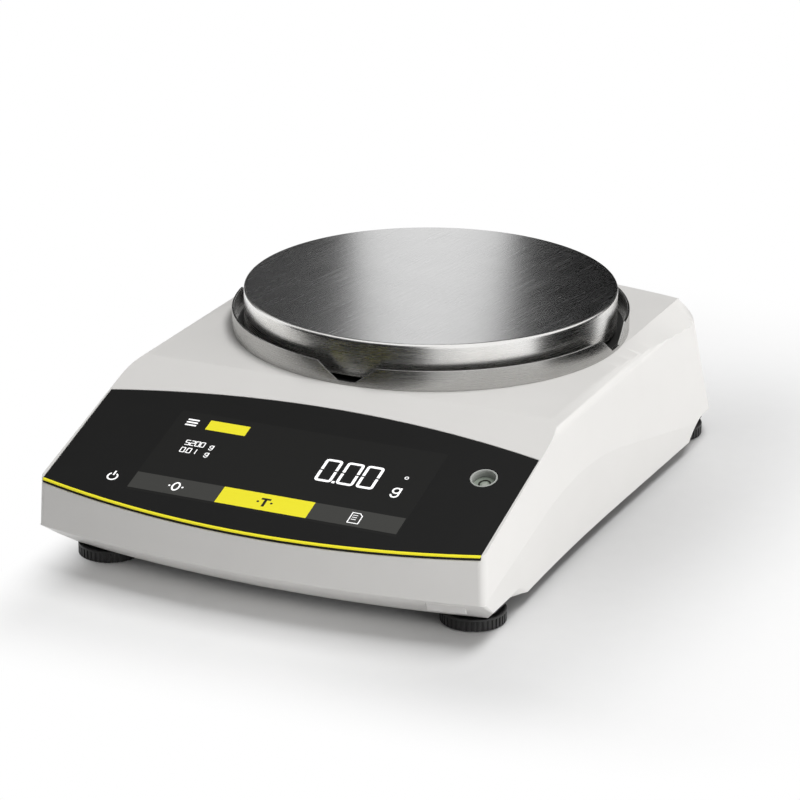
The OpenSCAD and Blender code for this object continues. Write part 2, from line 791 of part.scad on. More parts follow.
module glass_plan(grow, front) {
  intersection() {
    square([2 * (glass_half_w + grow), 2 * reach], center = true);
    translate([0, front_cy]) circle(r = front, $fn = plan_fn);
    translate([0, bend_y - glass_rear_gap - glass_rear_r]) circle(r = glass_rear_r + grow, $fn = plan_fn);
  }
}
module glass_layer(grow, front, top, bottom) {
  intersection() {
    linear_extrude(2 * deck_z) glass_plan(grow, front);
    face_slab(top, bottom);
  }
}
module screen_block(grow, top, bottom) {
  on_face() translate([-screen_w / 2 - grow, -screen_back - screen_len - grow, -bottom])
    cube([screen_w + 2 * grow, screen_len + 2 * grow, bottom - top]);
}
module level_bore(r, bottom) { at_level() translate([0, 0, -bottom]) cylinder(r = r, h = bottom + over); }
module at_pads() {
  on_face() for (x = [-1, 1], y = [0, 1])
    translate([x * (screen_w / 2 + screen_gap + pad_r + seat_gap),
      -screen_back - y * screen_len, 0]) children();
}
// The service flap on the chin, or its recess grown all round and open to the front
module flap_block(grow, out) {
  translate([0, front_cy, 0]) rotate([0, 0, side_turn - flap_turn])
    translate([0, chin_back * (1 - flap_share) - front_r, base_z + chin_rise * flap_share])
      rotate([180 - chin_tilt, 0, 0]) translate([-flap_w / 2 - grow, -flap_h / 2 - grow, -flap_t])
        cube([flap_w + 2 * grow, flap_h + 2 * grow, flap_t + out]);
}
// A socket's block, or its cut through the rear wall grown all round
module socket_block(x, w, h, grow, out) {
  face = socket_face(abs(x), w, h);
  translate([x - w / 2 - grow, face - socket_len, socket_z - grow])
    cube([w + 2 * grow, socket_len + out, h + 2 * grow]);
}

// Finger scoops in the lower edge of the right side, which rise outwards and end in a round
module scoops() {
  front = front_y + foot_front + scoop_past;
  rear = rear_y - foot_rear - scoop_past;
  translate([scoop_x, 0, base_z]) rotate([0, -scoop_tilt, 0]) along_x(2 * reach) {
    translate([front - reach, -2 * scoop_r]) square([reach, 2 * scoop_r]);
    translate([front, -scoop_r]) circle(r = scoop_r);
    translate([rear, -2 * scoop_r]) square([reach, 2 * scoop_r]);
    translate([rear, -scoop_r]) circle(r = scoop_r);
  }
}

module upper_housing() {
  color("whitesmoke") difference() {
    housing_form();
    difference() {
      cavity();
      at_screws() translate([0, 0, screw_pad_z]) cylinder(r = boss_r, h = deck_z);
      at_pads() translate([0, 0, -board_n]) cylinder(r = pad_r, h = board_n - shell_d + over);
    }
    glass_layer(glass_gap, front_r + over, -over, recess_d);
    screen_block(screen_gap, 0, shell_d + over);
    level_bore(level_hole_r, shell_d + over);
    translate([0, pan_y, deck_z / 2]) cylinder(r = post_r + post_gap, h = deck_z);
    at_screws() cylinder(r = screw_r + seat_gap, h = screw_seat + screw_len + screw_room);
    both_sides() scoops();
    flap_block(flap_gap, over);
    socket_block(-inlet_x, inlet_w, inlet_h, socket_gap, reach);
    socket_block(port_x, port_w, port_h, socket_gap, reach);
  }
}

module tray_plan() {
  sink = rear_rake * tray_t;
  cx = low_half_w - rear_corner_r;
  cy = sqrt(pow(rear_r - rear_corner_r, 2) - cx * cx);
  difference() {
    intersection() {
      square([2 * (inner_half_w - tray_gap), 2 * reach], center = true);
      translate([0, front_cy]) circle(r = front_r - chin_back - chin_inset - tray_gap, $fn = plan_fn);
      translate([0, rear_cy]) circle(r = rear_r - wall - sink - tray_gap, $fn = plan_fn);
    }
    for (side = [-1, 1]) scale([side, 1]) translate([cx, rear_cy + cy - sink])
      corner_waste(rear_corner_r - wall - tray_gap, 0, atan2(cy, cx), 1);
  }
}

module base_tray() {
  color("dimgray") difference() {
    union() {
      translate([0, 0, base_z]) linear_extrude(tray_t) tray_plan();
      at_feet() translate([0, 0, tray_top - tray_t / 2])
        cylinder(r = boss_out_r, h = insert_top - tray_top + tray_t / 2);
      at_screws() translate([0, 0, base_z]) cylinder(r = boss_r + screw_pad_rim, h = screw_pad_z - base_z);
      at_cell_screws() translate([0, 0, base_z]) cylinder(r = cell_post_r, h = cell_z - base_z);
      at_main_posts() translate([0, 0, base_z]) cylinder(r = main_post_r, h = pcb_z - base_z);
      pedestal(-inlet_x, inlet_w, inlet_h);
      pedestal(port_x, port_w, port_h);
    }
    at_feet() cylinder(r = insert_r + seat_gap, h = deck_z);
    at_screws() cylinder(r = screw_head_r + head_gap, h = screw_seat);
    at_screws() cylinder(r = screw_r + seat_gap, h = deck_z);
    at_cell_screws() translate([0, 0, plate_top - cell_screw_len - screw_room])
      cylinder(r = screw_r + seat_gap, h = deck_z);
    translate([0, pan_y, 0]) cylinder(r = hanger_r, h = deck_z);
  }
}
module pedestal(x, w, h) {
  y1 = socket_face(abs(x), w, h) - pedestal_in;
  translate([x - w / 2, y1 - pedestal_d, base_z]) cube([w, pedestal_d, socket_z - base_z]);
}
module at_cell_screws() {
  for (x = [-1, 1], y = [carrier_front - cell_screw_front, tower_y - cell_screw_rear])
    translate([x * (plate_half_w - cell_screw_in), y, 0]) children();
}
module at_main_posts() {
  for (x = [main_x + main_post_in, main_x + main_w - main_post_in],
       y = [main_y + conn_in + conn_d + main_post_in, main_y + main_len - main_post_in])
    translate([-x, y, 0]) children();
}

module display_glass() {
  color([0.13, 0.13, 0.13]) difference() {
    glass_layer(0, edge_r - strip_d - seat_gap, 0, glass_t);
    level_bore(level_hole_r, shell_d);
  }
}
module accent_strip() {
  color("yellow") difference() {
    glass_layer(0, edge_r, 0, glass_t);
    translate([0, front_cy, 0]) cylinder(r = edge_r - strip_d, h = 2 * deck_z, $fn = plan_fn);
  }
}
module glass_gasket() {
  color([0.05, 0.05, 0.05]) difference() {
    glass_layer(0, edge_r - gasket_back, glass_t, recess_d);
    screen_block(screen_gap, 0, shell_d);
    level_bore(level_hole_r, shell_d);
  }
}
module display_module() { color([0.2, 0.2, 0.2]) screen_block(0, glass_t, board_n); }
module display_board() {
  color("darkgreen") on_face() {
    translate([-screen_w / 2 - board_side, -screen_back - screen_len - board_end, -board_n - pcb_t])
      cube([screen_w + 2 * board_side, screen_len + 2 * board_end, pcb_t]);
    translate([-main_x - main_w / 2 - ribbon_w / 2 - conn_side, -ribbon_back - conn_d, -conn_n])
      cube([ribbon_w + 2 * conn_side, conn_d, conn_h]);
  }
}

module level_cup() {
  r = level_hole_r - level_gap;
  floor_n = vial_deep + vial_h;
  deep = max(floor_n, shell_d) + cup_wall;
  color([0.62, 0.63, 0.61]) at_level() difference() {
    union() {
      translate([0, 0, -deep]) cylinder(r = r, h = deep);
      translate([0, 0, -deep]) cylinder(r = level_hole_r + cup_flange, h = deep - shell_d);
    }
    translate([0, 0, -floor_n]) cylinder(r = r - cup_wall, h = deep + over);
  }
}
module level_vial() {
  color([0.72, 0.78, 0.66]) at_level() translate([0, 0, -vial_deep - vial_h])
    cylinder(r = level_hole_r - level_gap - cup_wall - seat_gap, h = vial_h);
}

module weighing_pan() {
  flat_r = pan_r - pan_edge_r;
  color([0.62, 0.61, 0.6]) translate([0, pan_y, pan_z - pan_h]) rotate_extrude() difference() {
    union() {
      square([pan_r, pan_h - pan_edge_r]);
      square([flat_r, pan_h]);
      translate([flat_r, pan_h - pan_edge_r]) circle(r = pan_edge_r);
    }
    translate([-over, -over]) square([pan_r - pan_t + over, pan_h - pan_t + over]);
    translate([-pan_r, -over]) square([pan_r, pan_h + 2 * over]);
  }
}
module pan_support() {
  arm_z = pan_z - pan_t - bumper_h - arm_t;
  color("silver") translate([0, pan_y, 0]) difference() {
    union() {
      translate([0, 0, pin_z]) cylinder(r = hub_r, h = hub_h);
      for (i = [1:arm_count]) rotate([0, 0, i * 360 / arm_count])
        translate([0, -arm_w / 2, arm_z]) cube([arm_len, arm_w, arm_t]);
    }
    translate([0, 0, pin_z - over]) cylinder(r = pin_r + run_gap, h = pin_len + pin_room + over);
  }
}
module pan_bumpers() {
  color("black") translate([0, pan_y, pan_z - pan_t - bumper_h]) for (i = [1:arm_count])
    rotate([0, 0, i * 360 / arm_count]) translate([arm_len - bumper_r - bumper_in, 0, 0])
      cylinder(r = bumper_r, h = bumper_h);
}
module shield_ring() {
  in_r = ring_r - ring_t;
  mouth = ring_h - notch_left;
  color("silver") translate([0, pan_y, deck_z]) difference() {
    union() {
      tube(ring_r, in_r, ring_h);
      tube(ring_r - ring_t / 2, in_r - ring_foot, ring_t);
    }
    for (i = [0:3]) rotate([0, 0, i * 90]) translate([ring_r, 0, notch_left]) along_x(4 * ring_foot) polygon([
      [-ring_r * sin(notch_floor), 0], [ring_r * sin(notch_floor), 0],
      [ring_r * sin(notch_mouth), mouth], [ring_r * sin(notch_mouth), mouth + over],
      [-ring_r * sin(notch_mouth), mouth + over], [-ring_r * sin(notch_mouth), mouth]
    ]);
  }
}

module load_carrier() {
  w = guide_half_w;
  window_z = low_guide_z + guide_slot + bar_t;
  prong_y = weight_y - prong_ahead;
  color("lightsteelblue") difference() {
    union() {
      difference() {
        translate([-w, carrier_front, carrier_z]) cube([2 * w, carrier_d, carrier_top - carrier_z]);
        translate([-carrier_open, carrier_front - over, window_z])
          cube([2 * carrier_open, carrier_d + 2 * over, window_top - window_z]);
      }
      translate([0, pan_y, carrier_top - bar_t / 2])
        cylinder(r = post_r, h = pin_z - carrier_top + bar_t / 2);
      translate([0, pan_y, pin_z - pin_len]) cylinder(r = pin_r, h = 2 * pin_len);
      translate([-lever_half_w, pan_y, window_top]) cube([2 * lever_half_w, link_y - pan_y, carrier_bar]);
      for (x = [-1, 1]) translate([x * prong_x - prong_w / 2, prong_y, cradle_top - prong_h])
        cube([prong_w, pan_y - prong_y, prong_h]);
    }
    for (z = [low_guide_z, up_guide_z]) translate([-w - over, guide_front, z])
      cube([2 * w + 2 * over, carrier_d, guide_slot]);
  }
}
module cell_frame() {
  plate_rear = tower_y + tower_d;
  hole_h = plate_t + 2 * over;
  color("slategray") difference() {
    union() {
      translate([-plate_half_w, plate_front, cell_z])
        cube([2 * plate_half_w, plate_rear - plate_front, plate_t]);
      translate([-guide_half_w, tower_y, cell_z]) cube([2 * guide_half_w, tower_d, carrier_top - cell_z]);
      for (x = [-1, 1]) translate([x * (cheek_x + cheek_t / 2) - cheek_t / 2, pivot_y - cheek_d / 2, cell_z])
        cube([cheek_t, cheek_d, lever_z + cheek_d / 2 - cell_z]);
    }
    for (z = [low_guide_z, up_guide_z]) translate([-guide_half_w - over, tower_y - over, z])
      cube([2 * guide_half_w + 2 * over, guide_rear - tower_y + over, guide_slot]);
    translate([0, pivot_y, lever_z]) rotate([0, 90, 0])
      cylinder(r = pivot_r + run_gap, h = 2 * (cheek_x + cheek_t + over), center = true);
    translate([0, pan_y, cell_z - over]) cylinder(r = hanger_r - hanger_flange, h = hole_h);
    at_cell_screws() translate([0, 0, cell_z - over]) cylinder(r = screw_r + seat_gap, h = hole_h);
    at_stops() translate([0, 0, cell_z - over]) cylinder(r = screw_r + seat_gap, h = hole_h);
  }
}
module at_stops() { for (x = [-1, 1]) translate([x * stop_x, pan_y, 0]) children(); }
module guide(z) {
  open_front = carrier_rear + end_bar;
  open_rear = tower_y - end_bar;
  color("lightgray") translate([0, 0, z + guide_gap]) difference() {
    translate([-guide_half_w, guide_front + guide_gap, 0])
      cube([2 * guide_half_w, guide_rear - guide_front - 2 * guide_gap, guide_t]);
    translate([-guide_open, open_front, -over])
      cube([2 * guide_open, open_rear - open_front, guide_t + 2 * over]);
  }
}
module upper_guide() { guide(up_guide_z); }
module lower_guide() { guide(low_guide_z); }
module balance_lever() {
  color("lightsteelblue") {
    translate([-lever_half_w, lever_front, lever_low])
      cube([2 * lever_half_w, lever_rear - lever_front, lever_h]);
    translate([-vane_half_w, lever_rear - vane_root, lever_low])
      cube([2 * vane_half_w, vane_end - lever_rear + vane_root, lever_h]);
    translate([0, pivot_y, lever_z]) rotate([0, 90, 0])
      cylinder(r = pivot_r, h = 2 * (cheek_x + cheek_t), center = true);
  }
}
module coupling_strip() {
  color("gold") translate([-link_half_w, link_y, lever_low])
    cube([2 * link_half_w, link_t, up_guide_z - lever_low]);
}
module force_coil() {
  color("peru") translate([0, coil_y, 0]) {
    translate([0, 0, bobbin_z - coil_h]) tube(coil_r, coil_r - coil_wind, coil_h + bobbin_t / 2);
    translate([0, 0, bobbin_z]) cylinder(r = coil_r, h = bobbin_t);
    translate([0, 0, bobbin_z]) cylinder(r = lever_half_w, h = lever_low - bobbin_z);
  }
}
module magnet_pot() {
  color("dimgray") translate([0, coil_y, plate_top]) {
    cylinder(r = pot_r, h = pot_floor);
    tube(pot_r, pot_in_r, pot_h);
    cylinder(r = pole_r, h = pot_h - pole_down);
  }
}
module position_sensor() {
  slot = 2 * (vane_half_w + vane_gap);
  sensor_h = lever_z + sensor_up - sensor_z;
  color("black") translate([0, tower_y - sensor_d, sensor_z]) difference() {
    translate([-sensor_half_w, 0, 0]) cube([2 * sensor_half_w, sensor_d, sensor_h]);
    translate([-slot / 2, -over, sensor_floor]) cube([slot, sensor_d - sensor_wall + over, sensor_h]);
  }
}
module overload_stops() {
  color("silver") at_stops() {
    translate([0, 0, cell_z]) cylinder(r = screw_r, h = plate_t + stop_h / 2);
    translate([0, 0, plate_top]) cylinder(r = screw_head_r, h = stop_h);
  }
}

module at_lift() { translate([lift_x, rail_y, 0]) children(); }
module lift_motor() {
  color("dimgray") at_lift() translate([0, 0, tray_top]) cylinder(r = motor_r, h = motor_h);
}
module lift_screw() {
  color("silver") at_lift() translate([0, 0, lift_z]) {
    cylinder(r = lift_r, h = lift_len);
    cylinder(r = lift_r + lift_collar, h = lift_collar_h);
  }
}
module lift_rod() {
  color("silver") at_lift() translate([rod_x, 0, tray_top]) cylinder(r = rod_r, h = motor_h + lift_len);
}
module lift_carriage() {
  nut_r = lift_r + nut_wall;
  right = lift_x + rod_x + rod_r + rod_wall;
  nut_h = beam_h + nut_up;
  color("darkorange") difference() {
    union() {
      translate([-fork_x - fork_t, beam_y, beam_z]) cube([right + fork_x + fork_t, beam_h, beam_h]);
      for (x = [-fork_x - fork_t, fork_x]) translate([x, beam_y, beam_z])
        cube([fork_t, weight_y - beam_y + weight_pin_r + fork_rear, beam_drop + fork_up]);
      translate([lift_x - nut_r, beam_y, beam_z])
        cube([right - lift_x + nut_r, rail_y + nut_r - beam_y, beam_h]);
      at_lift() translate([0, 0, beam_z]) cylinder(r = nut_r, h = nut_h);
    }
    translate([0, weight_y, weight_z]) rotate([0, 90, 0])
      cylinder(r = weight_pin_r + seat_gap, h = 2 * (fork_x + fork_t + over), center = true);
    at_lift() {
      translate([0, 0, beam_z - over]) cylinder(r = lift_r + run_gap, h = nut_h + 2 * over);
      translate([rod_x, 0, beam_z - over]) cylinder(r = rod_r + run_gap, h = beam_h + 2 * over);
    }
  }
}
module test_weight() {
  color("gainsboro") translate([0, weight_y, weight_z]) rotate([0, 90, 0]) {
    cylinder(r = weight_r, h = 2 * weight_half_l, center = true);
    cylinder(r = weight_pin_r, h = 2 * (fork_x + fork_t), center = true);
  }
}

module main_board() {
  color("darkgreen") translate([-main_x - main_w, main_y, pcb_z]) {
    cube([main_w, main_len, pcb_t]);
    translate([main_w / 2 - ribbon_w / 2 - conn_side, conn_in, 0])
      cube([ribbon_w + 2 * conn_side, conn_d, pcb_t + conn_h]);
    for (c = CHIPS) translate([main_w * c[0] - chip_w / 2, main_len * c[1], 0])
      cube([chip_w, chip_w, pcb_t + chip_h]);
  }
}
module ribbon_cable() {
  y1 = main_y + conn_in + conn_d;
  y0 = main_y + conn_in - conn_d;
  low = conn_n + ribbon_t;
  color("lightgray") translate([-main_x - main_w / 2, 0, 0]) along_x(ribbon_w) polygon([
    [y1, conn_z], [y0, conn_z], face_pt(ribbon_back, low), face_pt(ribbon_back + conn_d, low),
    face_pt(ribbon_back + conn_d, conn_n), face_pt(ribbon_back, conn_n), [y0, conn_z + ribbon_t],
    [y1, conn_z + ribbon_t]
  ]);
}
module power_inlet() {
  face = socket_face(inlet_x, inlet_w, inlet_h);
  color([0.1, 0.1, 0.1]) {
    difference() {
      socket_block(-inlet_x, inlet_w, inlet_h, 0, 0);
      translate([-inlet_x, face + over, socket_z + inlet_h / 2]) rotate([90, 0, 0])
        cylinder(r = inlet_bore_r, h = inlet_deep + over);
    }
    translate([-inlet_x, face - inlet_pin_in, socket_z + inlet_h / 2]) rotate([90, 0, 0])
      cylinder(r = inlet_pin_r, h = inlet_deep);
  }
}
module data_port() {
  face = socket_face(port_x, port_w, port_h);
  color("silver") difference() {
    socket_block(port_x, port_w, port_h, 0, 0);
    translate([port_x - port_w / 2 + port_shell, face - port_deep, socket_z + port_shell])
      cube([port_w - 2 * port_shell, port_deep + over, port_h - 2 * port_shell]);
  }
}
module hanger_cover() {
  color("dimgray") translate([0, pan_y, 0]) {
    translate([0, 0, base_z]) cylinder(r = hanger_r - tray_gap, h = tray_t + hanger_flange_t / 2);
    translate([0, 0, tray_top]) cylinder(r = hanger_r + hanger_flange, h = hanger_flange_t);
  }
}
module service_flap() { color("lightgray") flap_block(0, 0); }

module foot_inserts() {
  color("goldenrod") at_feet() {
    translate([0, 0, base_z]) tube(insert_r, stud_r + run_gap, insert_h + insert_flange_t / 2);
    translate([0, 0, insert_top]) tube(insert_r + insert_flange, stud_r + run_gap, insert_flange_t);
  }
}
module housing_screws() {
  color("silver") at_screws() {
    translate([0, 0, screw_seat - screw_head_h]) cylinder(r = screw_head_r, h = screw_head_h);
    translate([0, 0, screw_seat - screw_head_h / 2]) cylinder(r = screw_r, h = screw_len + screw_head_h / 2);
  }
}
module cell_screws() {
  color("silver") at_cell_screws() {
    translate([0, 0, plate_top]) cylinder(r = screw_head_r, h = screw_head_h);
    translate([0, 0, plate_top - cell_screw_len])
      cylinder(r = screw_r, h = cell_screw_len + screw_head_h / 2);
  }
}
module at_foot(f) { translate([f[1] * foot_x, foot_y(f), 0]) children(); }
module foot_wheel(f) {
  color([0.12, 0.12, 0.12]) at_foot(f) translate([0, 0, pad_out]) difference() {
    cylinder(r = wheel_r, h = wheel_h);
    translate([0, 0, -over]) cylinder(r = stud_r + seat_gap, h = wheel_h + 2 * over);
    translate([0, 0, -over]) cylinder(r = pad_foot_r + run_gap, h = pad_foot_h - pad_out + over);
    for (i = [1:groove_count]) rotate([0, 0, i * 360 / groove_count]) translate([wheel_r, 0, -over])
      cylinder(r = groove_r, h = wheel_h + 2 * over, $fn = 16);
  }
}
module foot_stud(f) {
  color("silver") at_foot(f) translate([0, 0, pad_foot_h]) cylinder(r = stud_r, h = insert_top - pad_foot_h);
}
module foot_pad(f) {
  color([0.2, 0.2, 0.2]) at_foot(f) cylinder(r = pad_foot_r, h = pad_foot_h);
}

upper_housing();
base_tray();
display_glass();
accent_strip();
glass_gasket();
display_module();
display_board();
level_cup();
level_vial();
weighing_pan();
pan_support();
pan_bumpers();
shield_ring();
load_carrier();
cell_frame();
upper_guide();
lower_guide();
balance_lever();
coupling_strip();
force_coil();
magnet_pot();
position_sensor();
overload_stops();
lift_motor();
lift_screw();
lift_rod();
lift_carriage();
test_weight();
main_board();
ribbon_cable();
power_inlet();
data_port();
hanger_cover();
service_flap();
foot_inserts();
housing_screws();
cell_screws();
for (f = FEET) {
  foot_wheel(f);
  foot_stud(f);
  foot_pad(f);
}
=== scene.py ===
import math

import bpy
from mathutils import Matrix, Vector


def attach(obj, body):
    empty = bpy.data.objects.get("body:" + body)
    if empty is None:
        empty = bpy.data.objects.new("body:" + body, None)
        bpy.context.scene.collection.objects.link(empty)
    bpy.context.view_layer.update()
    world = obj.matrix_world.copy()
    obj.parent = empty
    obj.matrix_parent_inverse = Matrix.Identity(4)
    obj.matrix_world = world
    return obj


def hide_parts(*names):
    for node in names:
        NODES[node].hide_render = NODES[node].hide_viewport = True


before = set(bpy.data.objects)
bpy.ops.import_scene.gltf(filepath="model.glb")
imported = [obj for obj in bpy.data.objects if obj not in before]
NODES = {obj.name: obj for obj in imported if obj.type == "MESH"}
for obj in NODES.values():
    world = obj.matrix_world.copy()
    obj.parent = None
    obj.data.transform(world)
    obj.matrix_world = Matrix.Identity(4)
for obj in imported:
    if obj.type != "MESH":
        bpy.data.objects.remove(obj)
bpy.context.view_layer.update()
MM = 0.001

# Where things are on the balance, in millimetres
PAN_Y = 38
PAN_TOP = 95.5
PAN_R = 90
PAN_SKIRT = 18
PAN_SHEET = 1.2
PAN_ROUND = 1.7
PAN_HEM = 0.3
RING_R = 95.8
# The radius of the disc of painted shade on the deck under the pan
PAN_SHADE_R = 94.5
BEND_Y = -58
DECK_Z = 75
ARCH_X = 106
ARCH_Z = (12, 50)
CHIN_Y = -120
CHIN_Z = 30
NEAR = 0.5
SLOPE = math.radians(18)
FACE_LENGTH = 97.8
LEVEL = (88.3, 50.6)
LEVEL_TOP = -3.6
VIAL_R = 5.3
VIAL_H = 1.7
TARGET_R = 3.0
BUBBLE_R = 1.5
WHEEL_R = 14.9
WHEEL_LOW = 0.4
WHEEL_TOP = 5.8
WHEEL_RIM = 0.9
RIM_FLAT = 1.2
RIM_STEP = 0.8
RIM_DROP = 0.5
RIBS_FROM_R = 12
WHEEL_RIBS = 40
SIDES_PER_RIB = 4
GROOVE = 0.55
PAD_HOLE_R = 11.08
PAD_HOLE = 1.2
FEET = {"fl": (-91, -119.5), "fr": (91, -119.5), "rl": (-91, 134), "rr": (91, 134)}
# Turns a drawing across the glass and up its slope into its place on the glass
FACE = (Matrix.Translation((0, BEND_Y * MM, DECK_Z * MM)) @ Matrix.Rotation(SLOPE, 4, "X")
        @ Matrix.Translation((0, -FACE_LENGTH * MM, 0)))
FACE_UP = FACE.col[2].xyz


# Shader maths

class Wire:
    """A socket's value in one node tree, for sums."""

    def __init__(self, nodes, socket):
        self.nodes = nodes
        self.socket = socket

    def calc(self, operation, first, second):
        return self.nodes.add("ShaderNodeMath", {"operation": operation}, {0: first, 1: second})

    def __add__(self, other):
        return self.calc("ADD", self, other)

    def __sub__(self, other):
        return self.calc("SUBTRACT", self, other)

    def __rsub__(self, other):
        return self.calc("SUBTRACT", other, self)

    def __mul__(self, other):
        return self.calc("MULTIPLY", self, other)

    def __gt__(self, other):
        return self.calc("GREATER_THAN", self, other)

    __radd__ = __add__
    __rmul__ = __mul__


class Nodes:
    """A node tree and the one way to put nodes into it."""

    def __init__(self, tree):
        self.tree = tree

    def plug(self, socket, value):
        if isinstance(value, Wire):
            self.tree.links.new(value.socket, socket)
        else:
            socket.default_value = value

    def add(self, kind, settings=None, sockets=None, out=0):
        node = self.tree.nodes.new(kind)
        for key, value in (settings or {}).items():
            setattr(node, key, value)
        for key, value in (sockets or {}).items():
            self.plug(node.inputs[key], value)
        return Wire(self, node.outputs[out])

    def direct_rays(self):
        """One for what the camera sees, also in a mirror or through glass, nought for bounced light."""
        path = self.add("ShaderNodeLightPath").socket.node.outputs
        return (Wire(self, path["Is Camera Ray"]) + Wire(self, path["Is Glossy Ray"])
                + Wire(self, path["Is Transmission Ray"]))


class Finish(Nodes):
    """A material, its nodes and its surface shader."""

    def __init__(self, name):
        self.material = bpy.data.materials.new(name)
        self.material.use_nodes = True
        super().__init__(self.material.node_tree)
        self.shader = self.tree.nodes["Principled BSDF"]

    def surface(self, **values):
        for key, value in values.items():
            self.plug(self.shader.inputs[key.replace("_", " ")], value)
        return self.material

    def spot(self):
        return self.add("ShaderNodeTexCoord", out=3)

    def place(self, size, turn=0.0, middle=(0, 0, 0)):
        """Object coordinates from a middle, in units of size along each axis, turned about Z."""
        return self.add("ShaderNodeMapping", {"vector_type": "TEXTURE"},
                        {"Vector": self.spot(), "Location": middle, "Rotation": (0, 0, turn), "Scale": size})

    def vector(self, operation, first, second):
        return self.add("ShaderNodeVectorMath", {"operation": operation}, {0: first, 1: second})

    def length(self, vector):
        return self.add("ShaderNodeVectorMath", {"operation": "LENGTH"}, {0: vector}, out=1)

    def ramp(self, value, low=0.0, high=1.0):
        """A soft rise from low to high while the value goes from nought to one."""
        return self.add("ShaderNodeMapRange", {"interpolation_type": "SMOOTHSTEP"},
                        {"Value": value, "From Min": 0.0, "From Max": 1.0, "To Min": low, "To Max": high})

    def noise(self, size, detail=2.0, turn=0.0):
        return self.add("ShaderNodeTexNoise", {"noise_dimensions": "3D"},
                        {"Vector": self.place(size, turn), "Scale": 1.0, "Detail": detail})

    def blend(self, share, first, second):
        return self.add("ShaderNodeMix", {"data_type": "RGBA"}, {0: share, 6: first, 7: second}, out=2)

    def within(self, middle, radius):
        """One inside an upright cylinder, nought outside."""
        endless = 1000.0
        return 1.0 - (self.length(self.place((radius, radius, endless), middle=middle)) > 1.0)

    def bump(self, height, strength, depth):
        return self.add("ShaderNodeBump", {}, {"Height": height, "Strength": strength, "Distance": depth})


def shade(colour, share):
    return tuple(share * c for c in colour) + (1.0,)


def cube_of(side):
    return (side, side, side)


def moulded(name, colour, rough, grain=0.0005, depth=0.00002, strength=0.25, well=None):
    """Moulded plastic with a fine spark-eroded grain and a faint unevenness. If well is given, the colour is
    near black inside that upright cylinder: painted shade, for the shade under the pan.
    """
    f = Finish(name)
    fine = f.noise(cube_of(grain), 3.0)
    cloud = f.noise(cube_of(0.03))
    tint = f.blend(cloud, shade(colour, 0.975), shade(colour, 1.02))
    return f.surface(
        # Near black inside the well: painted shade.
        Base_Color=f.blend(f.within(*well), tint, shade(colour, 0.03)) if well else tint,
        Roughness=rough - 0.05 + 0.1 * fine,
        Normal=f.bump(fine, strength, depth))


def metal(name, colour, rough, line=(0.0004, 0.03, 0.0004), turn=0.0, strength=0.3, depth=0.00003,
          contrast=0.08):
    """Bare metal with fine lines along one direction."""
    f = Finish(name)
    lines = 2.4 * f.noise(line, 3.0, turn) - 0.7
    cloud = f.noise(cube_of(0.02))
    return f.surface(
        Base_Color=f.blend(lines, shade(colour, 1 - contrast), shade(colour, 1 + contrast)),
        Metallic=1.0,
        Roughness=rough - 0.05 + 0.06 * lines + 0.04 * cloud,
        Normal=f.bump(lines, strength, depth))


def rubber(name, colour):
    f = Finish(name)
    dust = f.noise(cube_of(0.0012), 4.0)
    return f.surface(
        Base_Color=f.blend(dust, shade(colour, 0.8), shade(colour, 1.5)),
        Roughness=0.7 + 0.15 * dust,
        Normal=f.bump(dust, 0.3, 0.00005))


def black_glass(name, colour):
    """Front glass printed black behind, with a faint film of touch marks."""
    f = Finish(name)
    film = f.noise(cube_of(0.025), 3.0)
    return f.surface(
        Base_Color=f.blend(film, shade(colour, 0.96), shade(colour, 1.05)),
        Roughness=0.28 + 0.06 * film,
        Specular_IOR_Level=0.06)


def lit(name, colour, glow, rough=0.3, gloss=0.1):
    """A colour with a glow: the marks and fields of the display, and the bright strip. On the display's
    field and reading the glow stands for the display's own light; on the strip, the keys and the print it is
    painted light that keeps them bright in shade.
    """
    f = Finish(name)
    cells = f.noise(cube_of(0.0004), 1.0)
    tint = f.blend(cells, shade(colour, 0.97), shade(colour, 1.03))
    return f.surface(
        Base_Color=tint,
        Emission_Color=tint,
        Emission_Strength=glow,
        Roughness=rough + 0.05 * cells,
        Specular_IOR_Level=gloss)


def circuit(name, colour):
    """Solder mask over faint copper tracks."""
    f = Finish(name)
    tracks = f.add("ShaderNodeTexBrick", {"offset": 0.5},
                   {"Vector": f.place(cube_of(0.006)), "Scale": 1.0, "Mortar Size": 0.06,
                    "Color1": (0, 0, 0, 1), "Color2": (0.2, 0.2, 0.2, 1), "Mortar": (1, 1, 1, 1)})
    return f.surface(
        Base_Color=f.blend(tracks, shade(colour, 0.9), shade(colour, 1.6)),
        Roughness=0.35 + 0.1 * f.noise(cube_of(0.002)))


def winding(name, colour):
    """Enamelled wire laid in turns."""
    f = Finish(name)
    turns = f.add("ShaderNodeTexWave", {"bands_direction": "Z"},
                  {"Vector": f.place(cube_of(0.0012)), "Scale": 1.0, "Distortion": 0.3})
    return f.surface(
        Base_Color=f.blend(turns, shade(colour, 0.6), shade(colour, 1.1)),
        Metallic=0.8,
        Roughness=0.3 + 0.1 * turns,
        Normal=f.bump(turns, 0.5, 0.0001))


def liquid(name, colour):
    """Filled vial of the bubble level."""
    f = Finish(name)
    murk = f.noise(cube_of(0.003))
    return f.surface(
        Base_Color=f.blend(murk, shade(colour, 0.95), shade(colour, 1.05)),
        Roughness=0.08 + 0.04 * murk)


# The size and turn of the brush lines on the pan, and of the lines round a skirt
BRUSH = (0.0006, 0.04, 1.0)
BRUSH_TURN = math.radians(-9)
ROUND = (0.02, 0.02, 0.0004)
FAINT = 0.00002
